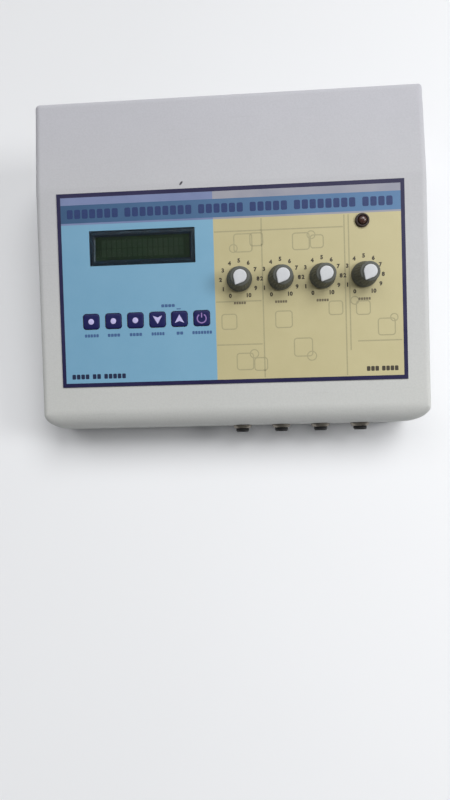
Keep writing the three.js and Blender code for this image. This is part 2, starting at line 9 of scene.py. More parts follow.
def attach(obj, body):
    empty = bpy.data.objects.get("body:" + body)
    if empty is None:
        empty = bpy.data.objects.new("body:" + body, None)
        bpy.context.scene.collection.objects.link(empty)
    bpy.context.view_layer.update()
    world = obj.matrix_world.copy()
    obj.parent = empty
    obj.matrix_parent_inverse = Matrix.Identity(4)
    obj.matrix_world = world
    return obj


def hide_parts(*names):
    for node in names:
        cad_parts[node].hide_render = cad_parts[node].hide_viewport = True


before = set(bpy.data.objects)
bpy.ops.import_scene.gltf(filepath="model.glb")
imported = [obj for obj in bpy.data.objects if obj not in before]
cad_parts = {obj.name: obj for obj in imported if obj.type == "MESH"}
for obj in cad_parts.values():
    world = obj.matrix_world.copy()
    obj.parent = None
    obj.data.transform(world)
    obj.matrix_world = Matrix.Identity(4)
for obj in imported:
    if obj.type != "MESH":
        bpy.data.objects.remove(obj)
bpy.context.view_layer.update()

scene = bpy.context.scene
scene.view_settings.view_transform = "Standard"
MM = 0.001
D2R = math.pi / 180

# ---------------------------------------------------------------- dimensions (mm, the frame's own)
CASE_W, FRONT_Y, REAR_Y = 264.2, -109.05, 114.05
PANEL_SLOPE, REAR_SLOPE, PANEL_H0, PANEL_RUN = 10 * D2R, 5.6 * D2R, 45.0, 164.0
WALL, PART_Z, SHELL_GAP, BASE_Z = 2.8, 17.0, 0.2, 4.0
R_FRONT, R_SIDE, R_BASE = 12.0, 4.5, 3.0
CORNER_X, CORNER_Y, R_CORNER_REAR, CORNER_MIN = 15.0, 9.5, 3.2, 0.9
PLATE_T, PLATE_INSET, GROOVE_DEEP, GROOVE_PLAY = 2.5, 10.5, 1.0, 0.3
SCREW_X, SCREW_Y = 115.0, 92.0
PANEL_O = np.array([-0.3, -16.478071, 61.322929])
OVERLAY_W, OVERLAY_H, OZ0, OZ1 = 232.8, 132.1, 0.15, 0.65
LCD_X, LCD_Y, LCD_W, LCD_H, VIEW_W, VIEW_H = -58.6, 28.2, 72.0, 23.8, 64.5, 16.0
KEY_X, KEY_Y, KEY_W, KEY_H, KEY_R = [-95.15, -79.85, -64.75, -49.6, -34.7, -19.6], -21.4, 11.0, 10.4, 2.0
DIAL_X, DIAL_Y = [6.4, 33.9, 61.4, 88.9], 3.8
LED_X, LED_Y = 88.4, 39.6
JACK_X, JACK_Z, JACK_REACH = [x - 0.3 for x in DIAL_X], 27.0, 5.0
PY, MAINS_Z, INLET_X, ROCKER_X, FUSE_X = REAR_Y - PLATE_INSET, 38.0, -82.0, -49.0, -22.0
SPLIT_X = -10.1          # where the panel's blue ends and its beige begins

# ---------------------------------------------------------------- camera
cam_data = bpy.data.cameras.new("camera")
cam = bpy.data.objects.new("camera", cam_data)
scene.collection.objects.link(cam)
rows = np.array([[0.998325, -0.021186, -0.053843], [0.029134, 0.988041, 0.151416], [0.049991, -0.152731, 0.987003]])
u_, _, vt_ = np.linalg.svd(rows)
rows = u_ @ vt_
m4 = Matrix.Identity(4)
for i in range(3):
    for j in range(3):
        m4[i][j] = rows[j][i]
m4.translation = Vector((-0.004686, -0.115891, 0.368786))
cam.matrix_world = m4
cam_data.sensor_width = 36.0
cam_data.sensor_fit = "AUTO"
cam_data.lens = 21.27163
cam_data.shift_x = 0.028874
cam_data.shift_y = -0.047119
cam_data.clip_start = 0.01
scene.camera = cam


# ---------------------------------------------------------------- materials
def lin(r, g, b):
    def f(c):
        c /= 255
        return c / 12.92 if c <= 0.04045 else ((c + 0.055) / 1.055) ** 2.4
    return (f(r), f(g), f(b), 1.0)


def shade(c, k):
    return tuple(min(1.0, max(0.0, v * k)) for v in c[:3]) + (1.0,)


class Graph:
    """A material being wired up. Coordinates are the piece's own, in metres."""

    def __init__(s, name, rough, metal=0.0, spec=0.5):
        s.m = bpy.data.materials.new(name)
        s.m.use_nodes = True
        s.t = s.m.node_tree
        s.t.nodes.clear()
        out = s.n("ShaderNodeOutputMaterial")
        s.b = s.n("ShaderNodeBsdfPrincipled")
        s.l(s.b.outputs[0], out.inputs["Surface"])
        s.b.inputs["Roughness"].default_value = rough
        s.b.inputs["Metallic"].default_value = metal
        s.b.inputs["Specular IOR Level"].default_value = spec
        s.co = s.n("ShaderNodeTexCoord").outputs["Object"]

    def n(s, kind, **kw):
        node = s.t.nodes.new(kind)
        for k, v in kw.items():
            setattr(node, k, v)
        return node

    def l(s, a, b):
        s.t.links.new(a, b)

    def put(s, sock, v):
        if isinstance(v, bpy.types.NodeSocket):
            s.l(v, sock)
        else:
            sock.default_value = v

    def noise(s, scale, detail=3.0, rough=0.5, co=None, dist=0.0):
        n = s.n("ShaderNodeTexNoise")
        s.l(co or s.co, n.inputs["Vector"])
        n.inputs["Scale"].default_value = scale
        n.inputs["Detail"].default_value = detail
        n.inputs["Roughness"].default_value = rough
        n.inputs["Distortion"].default_value = dist
        return n.outputs["Fac"]

    def cells(s, scale, feature="F1", co=None):
        n = s.n("ShaderNodeTexVoronoi", feature=feature)
        s.l(co or s.co, n.inputs["Vector"])
        n.inputs["Scale"].default_value = scale
        return n.outputs["Distance"]

    def stretched(s, x, y, z):
        n = s.n("ShaderNodeMapping")
        s.l(s.co, n.inputs["Vector"])
        n.inputs["Scale"].default_value = (x, y, z)
        return n.outputs["Vector"]

    def ramp(s, fac, stops):
        n = s.n("ShaderNodeValToRGB")
        s.l(fac, n.inputs["Fac"])
        e = n.color_ramp.elements
        while len(e) < len(stops):
            e.new(0.5)
        for q, (p, c) in zip(e, stops):
            q.position = p
            q.color = c if len(c) == 4 else (*c, 1.0)
        return n.outputs["Color"]

    def span(s, v, a, b, lo=0.0, hi=1.0):
        n = s.n("ShaderNodeMapRange", clamp=True)
        s.l(v, n.inputs["Value"])
        for k, q in (("From Min", a), ("From Max", b), ("To Min", lo), ("To Max", hi)):
            n.inputs[k].default_value = q
        return n.outputs["Result"]

    def calc(s, op, a, b=0.0, c=0.0):
        n = s.n("ShaderNodeMath", operation=op)
        for k, v in enumerate((a, b, c)):
            s.put(n.inputs[k], v)
        return n.outputs[0]

    def mix(s, fac, a, b, how="MIX"):
        n = s.n("ShaderNodeMix", data_type="RGBA", blend_type=how)
        s.put(n.inputs[0], fac)
        s.put(n.inputs[6], a)
        s.put(n.inputs[7], b)
        return n.outputs[2]

    def axis(s, which):
        n = s.n("ShaderNodeSeparateXYZ")
        s.l(s.co, n.inputs[0])
        return n.outputs[which]

    def edges(s, lo=0.51, hi=0.58):
        g = s.n("ShaderNodeNewGeometry")
        return s.span(g.outputs["Pointiness"], lo, hi)

    def bump(s, parts):
        """parts: (height socket, depth in mm)."""
        prev = None
        for h, depth in parts:
            n = s.n("ShaderNodeBump")
            n.inputs["Strength"].default_value = 1.0
            n.inputs["Distance"].default_value = depth * MM
            s.l(h, n.inputs["Height"])
            if prev is not None:
                s.l(prev, n.inputs["Normal"])
            prev = n.outputs["Normal"]
        s.l(prev, s.b.inputs["Normal"])

    def colour(s, c):
        s.l(c, s.b.inputs["Base Color"])
        return s

    def roughness(s, lo, hi, scale=40.0):
        s.l(s.span(s.noise(scale, 4.0), 0.3, 0.7, lo, hi), s.b.inputs["Roughness"])


def moulded(name, rgb, lo, hi, tone=0.06, tone_scale=45.0, grain=2200.0, depth=0.012, worn=0.25, spec=0.5, metal=0.0, coarse=0.0):
    """Moulded plastic or painted metal: mottled colour, worn edges, spark-eroded grain."""
    g = Graph(name, (lo + hi) / 2, metal, spec)
    c = lin(*rgb)
    body = g.ramp(g.noise(tone_scale, 5.0, 0.6), [(0.3, shade(c, 1 - tone)), (0.7, shade(c, 1 + tone))])
    fine = g.ramp(g.noise(tone_scale * 14, 2.0), [(0.35, (0.94, 0.94, 0.94)), (0.65, (1, 1, 1))])
    body = g.mix(1.0, body, fine, "MULTIPLY")
    if worn:
        rub = g.calc("MULTIPLY", g.edges(), g.span(g.noise(tone_scale * 6, 4.0), 0.4, 0.65, 0.0, worn))
        body = g.mix(rub, body, shade(c, 1.6) if max(c[:3]) < 0.4 else shade(c, 1.12))
    g.colour(body)
    g.roughness(lo, hi, tone_scale * 3)
    parts = [(g.noise(grain, 2.0, 0.6), depth)]
    if coarse:
        parts.append((g.noise(grain / 12, 3.0), coarse))
    g.bump(parts)
    return g


def case_material(name, lowest):
    g = Graph(name, 0.5, 0.0, 0.15)
    # large soft blotches, a slight cool tint to the rear and a slight warm tint to the front
    y = g.axis(1)
    base = g.mix(g.span(y, -0.09, 0.10), lin(199, 200, 197), lin(191, 191, 197))
    blot = g.ramp(g.noise(11.0, 3.0, 0.5), [(0.3, (0.965, 0.965, 0.965)), (0.7, (1.0, 1.0, 1.0))])
    base = g.mix(1.0, base, blot, "MULTIPLY")
    speck = g.ramp(g.noise(900.0, 2.0, 0.5), [(0.35, (0.955, 0.955, 0.955)), (0.62, (1, 1, 1))])
    base = g.mix(1.0, base, speck, "MULTIPLY")
    # painted shade: the colour darkens towards the foot of the walls, broken up by noise; rubbed-bright edges
    z = g.axis(2)
    low = g.calc("MULTIPLY", g.span(z, 0.034, lowest, 0.0, 0.55), g.span(g.noise(90.0, 4.0), 0.2, 0.8, 0.35, 1.0))
    base = g.mix(low, base, lin(150, 149, 142))
    rub = g.calc("MULTIPLY", g.edges(0.515, 0.60), g.span(g.noise(220.0, 4.0), 0.45, 0.65, 0.0, 0.35))
    base = g.mix(rub, base, lin(222, 223, 222))
    # fine scratches
    scr = g.noise(1.0, 2.0, 0.5, g.stretched(30.0, 900.0, 900.0), 0.4)
    base = g.mix(g.span(scr, 0.66, 0.72, 0.0, 0.10), base, lin(160, 161, 160))
    g.colour(base)
    g.roughness(0.44, 0.60, 70.0)
    g.bump([(g.noise(2600.0, 2.0, 0.65), 0.010), (g.noise(300.0, 3.0), 0.012)])
    return g


def scuffed_case():
    """The cover's finish: the same, with one short dark scuff just in front of the crease."""
    g = case_material("case_cover", PART_Z * MM)
    old = g.b.inputs["Base Color"].links[0].from_socket
    x, y = g.axis(0), g.axis(1)
    dx = g.calc("SUBTRACT", x, SCUFF[0] * MM)
    dy = g.calc("SUBTRACT", y, SCUFF[1] * MM)
    a = 0.86
    along = g.calc("ADD", g.calc("MULTIPLY", dx, math.cos(a) / (1.7 * MM)), g.calc("MULTIPLY", dy, math.sin(a) / (1.7 * MM)))
    across = g.calc("ADD", g.calc("MULTIPLY", dx, -math.sin(a) / (0.75 * MM)), g.calc("MULTIPLY", dy, math.cos(a) / (0.75 * MM)))
    d = g.calc("ADD", g.calc("MULTIPLY", along, along), g.calc("MULTIPLY", across, across))
    d = g.calc("ADD", d, g.calc("MULTIPLY", g.noise(1400.0, 2.0), 0.9))
    mark = g.calc("MULTIPLY", g.span(d, 1.7, 0.9), g.span(g.axis(2), 0.03, 0.04))
    g.colour(g.mix(mark, old, lin(70, 68, 74)))
    return g


def film(name, rgb_a, rgb_b, lo=0.34, hi=0.46, tone_scale=38.0, along=None):
    """Printed, textured plastic film. along: (rgb left, rgb right) paints the print lighter to the right across the
    panel, painted light falling from that side.
    """
    g = Graph(name, (lo + hi) / 2, 0.0, 0.28)
    body = g.ramp(g.noise(tone_scale, 4.0, 0.55), [(0.32, lin(*rgb_a)), (0.68, lin(*rgb_b))])
    if along:
        # painted light: the print is blended lighter towards the right, where the light falls
        body = g.mix(0.6, body, g.mix(g.span(g.axis(0), -0.115, 0.115), lin(*along[0]), lin(*along[1])))
    dots = g.ramp(g.noise(3800.0, 1.0), [(0.35, (0.96, 0.96, 0.96)), (0.6, (1, 1, 1))])
    g.colour(g.mix(1.0, body, dots, "MULTIPLY"))
    g.roughness(lo, hi, 150.0)
    g.bump([(g.noise(3200.0, 2.0, 0.6), 0.006), (g.noise(120.0, 2.0), 0.02)])
    return g


def ink(name, rgb, var=0.14):
    g = Graph(name, 0.5, 0.0, 0.35)
    c = lin(*rgb)
    g.colour(g.ramp(g.noise(900.0, 3.0, 0.6), [(0.3, shade(c, 1 - var)), (0.7, shade(c, 1 + var))]))
    g.roughness(0.4, 0.55, 600.0)
    g.bump([(g.noise(4200.0, 2.0), 0.004)])
    return g


def turned_metal(name, rgb, lo, hi, axis="z", tone=0.12, dark=0.5):
    """Machined metal: rings or brushing, tarnish in patches, bright rubbed edges."""
    g = Graph(name, (lo + hi) / 2, 1.0, 0.5)
    c = lin(*rgb)
    st = {"z": (200.0, 200.0, 9000.0), "y": (200.0, 9000.0, 200.0), "flat": (900.0, 120.0, 120.0)}[axis]
    line = g.noise(1.0, 3.0, 0.6, g.stretched(*st))
    body = g.ramp(line, [(0.3, shade(c, 1 - tone)), (0.7, shade(c, 1 + tone))])
    tar = g.span(g.noise(260.0, 4.0), 0.45, 0.75, 0.0, dark)
    body = g.mix(tar, body, shade(c, 0.45))
    rub = g.calc("MULTIPLY", g.edges(), g.span(g.noise(700.0, 3.0), 0.35, 0.6, 0.0, 0.5))
    g.colour(g.mix(rub, body, shade(c, 1.5)))
    g.roughness(lo, hi, 500.0)
    g.bump([(line, 0.008)])
    return g


# ---------------------------------------------------------------- mesh kit (millimetres until the end)
def panel_to_row(v):
    v = np.asarray(v, float)
    c, s = math.cos(PANEL_SLOPE), math.sin(PANEL_SLOPE)
    return np.stack([v[:, 0], v[:, 1] * c - v[:, 2] * s, v[:, 1] * s + v[:, 2] * c], 1) + PANEL_O


def forward(x, y, z):
    """Pieces modelled along +Z, turned so that +Z points out of the front and +Y up, then put at x, y, z."""
    return lambda v: np.stack([v[:, 0], -v[:, 2], v[:, 1]], 1) + np.array([x, y, z])


def rearward(x, y, z):
    return lambda v: np.stack([-v[:, 0], v[:, 2], v[:, 1]], 1) + np.array([x, y, z])


def shift(x, y, z):
    return lambda v: np.asarray(v, float) + np.array([x, y, z])


def on_panel(x, y, z=0.0):
    return lambda v: panel_to_row(np.asarray(v, float) + np.array([x, y, z]))


class Blank:
    """Points and faces of one or more closed shapes."""

    def __init__(s):
        s.v, s.f, s.m = [], [], []

    def add(s, other, place=None, mat=None):
        v = np.array(other.v, float).reshape(-1, 3)
        if place is not None:
            v = place(v)
        off = len(s.v)
        s.v += v.tolist()
        s.f += [[i + off for i in f] for f in other.f]
        s.m += [q if mat is None else mat for q in other.m]
        return s


def loft(rings, low_cap=True, high_cap=True, closed=False):
    """Rings of the same number of points, from low to high, anticlockwise seen from above."""
    b = Blank()
    n = len(rings[0])
    for r in rings:
        b.v += [list(map(float, p)) for p in r]
    last = len(rings) if closed else len(rings) - 1
    for k in range(last):
        k2 = (k + 1) % len(rings)
        for i in range(n):
            j = (i + 1) % n
            b.f.append([k * n + i, k * n + j, k2 * n + j, k2 * n + i])
    if not closed and low_cap:
        b.f.append(list(range(n))[::-1])
    if not closed and high_cap:
        b.f.append([(len(rings) - 1) * n + i for i in range(n)])
    b.m = [0] * len(b.f)
    return b


def lathe(profile, n=48, wave=None):
    """Revolved [[r, z], ...] from the axis to the axis; one pole vertex at each end. wave(r, z, angle) changes r."""
    b = Blank()
    prof = [tuple(p) for p in profile]
    rings = []
    for r, z in prof:
        if r < 1e-6:
            rings.append([len(b.v)])
            b.v.append([0.0, 0.0, z])
        else:
            rings.append(list(range(len(b.v), len(b.v) + n)))
            for i in range(n):
                a = 2 * math.pi * i / n
                q = wave(r, z, a) if wave else r
                b.v.append([q * math.cos(a), q * math.sin(a), z])
    for p, q in zip(rings, rings[1:]):
        if len(p) == 1 and len(q) == 1:
            continue
        for i in range(n):
            j = (i + 1) % n
            if len(p) == 1:
                b.f.append([p[0], q[j], q[i]])
            elif len(q) == 1:
                b.f.append([p[i], p[j], q[0]])
            else:
                b.f.append([p[i], p[j], q[j], q[i]])
    b.m = [0] * len(b.f)
    return b


def round_rect(w, h, r, n=6):
    out = []
    for cx, cy, a0 in ((w / 2 - r, -h / 2 + r, -90), (w / 2 - r, h / 2 - r, 0), (-w / 2 + r, h / 2 - r, 90), (-w / 2 + r, -h / 2 + r, 180)):
        for i in range(n + 1):
            a = (a0 + 90 * i / n) * D2R
            out.append((cx + r * math.cos(a), cy + r * math.sin(a)))
    return out


def rr_loft(w, h, r, steps, n=6):
    """Rounded rectangle lofted through (inset, z) steps."""
    rings = []
    for d, z in steps:
        rings.append([(x, y, z) for x, y in round_rect(w - 2 * d, h - 2 * d, max(r - d, 0.05), n)])
    return loft(rings)


def bead(inner, outer, k=4):
    """(inset, z) steps of a quarter roll from (0, z0) to (r, z0 + r); inner = r, outer = z of the top."""
    r, z1 = inner, outer
    return [(r * (1 - math.cos(t)), z1 - r + r * math.sin(t)) for t in [math.pi / 2 * i / k for i in range(k + 1)]]


def box(x0, x1, y0, y1, z0, z1):
    return loft([[(x0, y0, z), (x1, y0, z), (x1, y1, z), (x0, y1, z)] for z in (z0, z1)])


def soft_box(x0, x1, y0, y1, z0, z1, r=0.3):
    """Box with small rounded edges all round."""
    w, h = x1 - x0, y1 - y0
    steps = [(r, z0), (r * 0.3, z0 + r * 0.3), (0, z0 + r), (0, z1 - r), (r * 0.3, z1 - r * 0.3), (r, z1)]
    b = rr_loft(w, h, r * 1.01, steps, 2)
    return Blank().add(b, shift((x0 + x1) / 2, (y0 + y1) / 2, 0))


def rod(r, z0, z1, n=32, c=0.0):
    p = [(0, z0), (r - c, z0), (r, z0 + c), (r, z1 - c), (r - c, z1), (0, z1)] if c else [(0, z0), (r, z0), (r, z1), (0, z1)]
    return lathe(p, n)


def ribbon(path, width, z0, z1, closed=False):
    """Flat strip of that width along a path in XY, closed all round."""
    p = np.array(path, float)
    n = len(p)
    left, right = [], []
    for i in range(n):
        a = p[(i - 1) % n] if closed or i > 0 else p[i]
        c = p[(i + 1) % n] if closed or i < n - 1 else p[i]
        d1 = p[i] - a
        d2 = c - p[i]
        d1 = d1 / np.linalg.norm(d1) if np.linalg.norm(d1) > 1e-9 else d2 / np.linalg.norm(d2)
        d2 = d2 / np.linalg.norm(d2) if np.linalg.norm(d2) > 1e-9 else d1
        t = d1 + d2
        t /= np.linalg.norm(t)
        nrm = np.array([-t[1], t[0]])
        k = width / 2 / max(0.5, float(np.dot(nrm, [-d1[1], d1[0]])))
        left.append(p[i] + nrm * k)
        right.append(p[i] - nrm * k)
    b = Blank()
    for z in (z0, z1):
        for q in left:
            b.v.append([q[0], q[1], z])
        for q in right:
            b.v.append([q[0], q[1], z])
    L0, R0, L1, R1 = 0, n, 2 * n, 3 * n
    for i in range(n if closed else n - 1):
        j = (i + 1) % n
        b.f.append([L1 + i, R1 + i, R1 + j, L1 + j])
        b.f.append([L0 + j, R0 + j, R0 + i, L0 + i])
        b.f.append([R0 + i, R0 + j, R1 + j, R1 + i])
        b.f.append([L0 + j, L0 + i, L1 + i, L1 + j])
    if not closed:
        b.f.append([L0, R0, R1, L1])
        b.f.append([L0 + n - 1, L1 + n - 1, R1 + n - 1, R0 + n - 1])
    b.m = [0] * len(b.f)
    return b


def circle(cx, cy, r, n=28, a0=0.0, a1=360.0):
    full = abs(a1 - a0 - 360) < 1e-6
    k = n if full else n + 1
    return [(cx + r * math.cos((a0 + (a1 - a0) * i / n) * D2R), cy + r * math.sin((a0 + (a1 - a0) * i / n) * D2R)) for i in range(k)]


def plate(outline, z0, z1):
    return loft([[(x, y, z) for x, y in outline] for z in (z0, z1)])


def raw_mesh(name, b):
    me = bpy.data.meshes.new(name)
    me.from_pydata([tuple(p) for p in b.v], [], b.f)
    me.polygons.foreach_set("material_index", b.m)
    me.update()
    return me


def carve(b, ops):
    """Boolean chain: ops are ("-", Blank) or ("+", Blank)."""
    made = []
    base = bpy.data.objects.new("carve_base", raw_mesh("carve_base", b))
    scene.collection.objects.link(base)
    made.append(base)
    for kind, other in ops:
        o = bpy.data.objects.new("carve_tool", raw_mesh("carve_tool", other))
        scene.collection.objects.link(o)
        made.append(o)
        m = base.modifiers.new("cut", "BOOLEAN")
        m.operation = "DIFFERENCE" if kind == "-" else "UNION"
        m.object = o
        m.solver = "MANIFOLD"
    for k in range(int(max(b.m, default=0)) + 1):
        base.data.materials.append(None)
    bpy.context.view_layer.update()
    dg = bpy.context.evaluated_depsgraph_get()
    me = bpy.data.meshes.new_from_object(base.evaluated_get(dg))
    out = Blank()
    co = np.zeros(len(me.vertices) * 3)
    me.vertices.foreach_get("co", co)
    out.v = co.reshape(-1, 3).tolist()
    out.f = [list(p.vertices) for p in me.polygons]
    out.m = [p.material_index for p in me.polygons]
    for o in made:
        d = o.data
        bpy.data.objects.remove(o)
        bpy.data.meshes.remove(d)
    bpy.data.meshes.remove(me)
    return out


def piece(name, b, mats, body, replaces=(), place=None, sharp=32.0, weld=0.002):
    v = np.array(b.v, float).reshape(-1, 3)
    if place is not None:
        v = place(v)
    me = bpy.data.meshes.new(name)
    me.from_pydata((v * MM).tolist(), [], b.f)
    for m in mats:
        me.materials.append(m.m if isinstance(m, Graph) else m)
    me.polygons.foreach_set("material_index", [min(q, len(mats) - 1) for q in b.m])
    bm = bmesh.new()
    bm.from_mesh(me)
    if weld:
        bmesh.ops.remove_doubles(bm, verts=bm.verts, dist=weld * MM)
        bmesh.ops.dissolve_degenerate(bm, edges=bm.edges, dist=weld * MM * 0.5)
    bmesh.ops.recalc_face_normals(bm, faces=bm.faces)
    bm.to_mesh(me)
    bm.free()
    me.polygons.foreach_set("use_smooth", [True] * len(me.polygons))
    me.update()
    me.set_sharp_from_angle(angle=sharp * D2R)
    o = bpy.data.objects.new(name, me)
    scene.collection.objects.link(o)
    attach(o, body)
    if replaces:
        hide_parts(*replaces)
    return o


# ---------------------------------------------------------------- case surfaces
TAN_P, TAN_R = math.tan(PANEL_SLOPE), math.tan(REAR_SLOPE)
CREASE_Y = FRONT_Y + PANEL_RUN * math.cos(PANEL_SLOPE)
CREASE_Z = PANEL_H0 + PANEL_RUN * math.sin(PANEL_SLOPE)


def roof(y):
    """Height of the top; the crease is eased over 1 mm each way, never above the sharp one."""
    zp, zr = PANEL_H0 + (y - FRONT_Y) * TAN_P, CREASE_Z + (y - CREASE_Y) * TAN_R
    if y <= CREASE_Y - 1:
        return zp
    if y >= CREASE_Y + 1:
        return zr
    return zp - (TAN_P - TAN_R) * (y - CREASE_Y + 1) ** 2 / 4


def plan_ring(side, front, rear, seg_f=16, seg_r=8, points=True):
    """Plan outline drawn in by side, front and rear: (x, y, roll radius of the top edge there)."""
    x1, y0, y1 = CASE_W / 2 - side, FRONT_Y + front, REAR_Y - rear
    ax, ay = max(CORNER_X - side, CORNER_MIN), max(CORNER_Y - front, CORNER_MIN)
    rr = max(R_CORNER_REAR - max(side, rear), CORNER_MIN)
    flank = [CREASE_Y - 1.8, CREASE_Y - 1, CREASE_Y - 0.5, CREASE_Y, CREASE_Y + 0.5, CREASE_Y + 1, CREASE_Y + 1.8]
    if points:
        flank = [-90, -62, -34, -6, 22, 40] + flank + [66, 84, 102]
    out = []

    def arc(cx, cy, rx, ry, a0, n, roll):
        for i in range(n + 1):
            a = (a0 + 90 * i / n) * D2R
            out.append((cx + rx * math.cos(a), cy + ry * math.sin(a), roll(i / n)))

    def ease(t):
        return t * t * (3 - 2 * t)
    arc(x1 - ax, y0 + ay, ax, ay, -90, seg_f, lambda t: R_FRONT + (R_SIDE - R_FRONT) * ease(t))
    out += [(x1, y, R_SIDE) for y in flank]
    arc(x1 - rr, y1 - rr, rr, rr, 0, seg_r, lambda t: R_SIDE)
    arc(-x1 + rr, y1 - rr, rr, rr, 90, seg_r, lambda t: R_SIDE)
    out += [(-x1, y, R_SIDE) for y in flank[::-1]]
    arc(-x1 + ax, y0 + ay, ax, ay, 180, seg_f, lambda t: R_SIDE + (R_FRONT - R_SIDE) * ease(t))
    return out, seg_f, seg_r, len(flank)


def roof_caps(b, base, seg_f, seg_r, m, flip=False):
    """The top as a front polygon, strips across and a rear polygon."""
    nf, nr = seg_f + 1, seg_r + 1
    right = [nf + i for i in range(m)]
    left = [nf + m + 2 * nr + m - 1 - i for i in range(m)]
    fl = [nf + m + 2 * nr + m + i for i in range(nf)]
    faces = [[left[0]] + fl + list(range(nf)) + [right[0]]]
    for i in range(m - 1):
        faces.append([left[i], right[i], right[i + 1], left[i + 1]])
    faces.append([left[-1], right[-1]] + [nf + m + i for i in range(2 * nr)])
    for f in faces:
        f = [base + i for i in f]
        b.f.append(f[::-1] if flip else f)
        b.m.append(0)


def hood(d, drop, z0, rear=0.0, steps=12, seg_f=16, seg_r=8, fine=True):
    """Closed solid under the roof with its top edge rolled over, shrunk by d, its roof lowered by drop."""
    roll_s, roll_f = max(R_SIDE - d, 0.8), max(R_FRONT - d, 0.8)

    def level(side, front, height):
        ring, *_ = plan_ring(d + side, d + front, d - rear + side, seg_f, seg_r)
        return [(q[0], q[1], height(q)) for q in ring]

    def top(k):
        return lambda q: roof(q[1]) - drop - max(q[2] - d, 0.8) * k
    rings = []
    if fine:
        c = 0.35
        rings.append(level(c, c, lambda q: z0))
        rings.append(level(0, 0, lambda q: z0 + c))
        rings.append(level(0, 0, lambda q: z0 + c + 0.8))
        rings.append(level(0, 0, lambda q: top(1)(q) - 0.9))
    else:
        rings.append(level(0, 0, lambda q: z0))
    for k in range(steps + 1):
        a = k / steps * math.pi / 2
        i = 1 - math.cos(a)
        rings.append(level(roll_s * i, roll_f * i, top(1 - math.sin(a))))
    if fine:
        rings.append(level(roll_s + 0.8, roll_f + 0.8, top(0)))
    b = loft(rings, True, False)
    _, sf, sr, m = plan_ring(0, 0, 0, seg_f, seg_r)
    roof_caps(b, (len(rings) - 1) * len(rings[0]), sf, sr, m)
    return b


def tray(d, z0, z1, roll, rear=0.0, steps=5, seg_f=16, seg_r=8, fine=True):
    def level(inset, z):
        ring, *_ = plan_ring(d + inset, d + inset, d - rear + inset, seg_f, seg_r)
        return [(q[0], q[1], z) for q in ring]
    rings = []
    if fine:
        rings.append(level(roll + 0.8, z0))
    for k in range(steps, -1, -1):
        a = k / steps * math.pi / 2
        rings.append(level(roll * (1 - math.cos(a)), z0 + roll * (1 - math.sin(a))))
    if fine:
        rings.append(level(0, z0 + roll + 0.8))
        rings.append(level(0, z1 - 1.1))
        rings.append(level(0, z1 - 0.35))
        rings.append(level(0.35, z1))
    else:
        rings.append(level(0, z1))
    return loft(rings)


def tilt_box(x, y, w, h, z0, z1, r=0.3):
    return Blank().add(loft([[(a, c, z) for a, c in round_rect(w, h, r, 3)] for z in (z0, z1)]), on_panel(x, y))


def inner_roof(y):
    return (PANEL_H0 + (y - FRONT_Y) * TAN_P if y <= CREASE_Y else CREASE_Z + (y - CREASE_Y) * TAN_R) - WALL


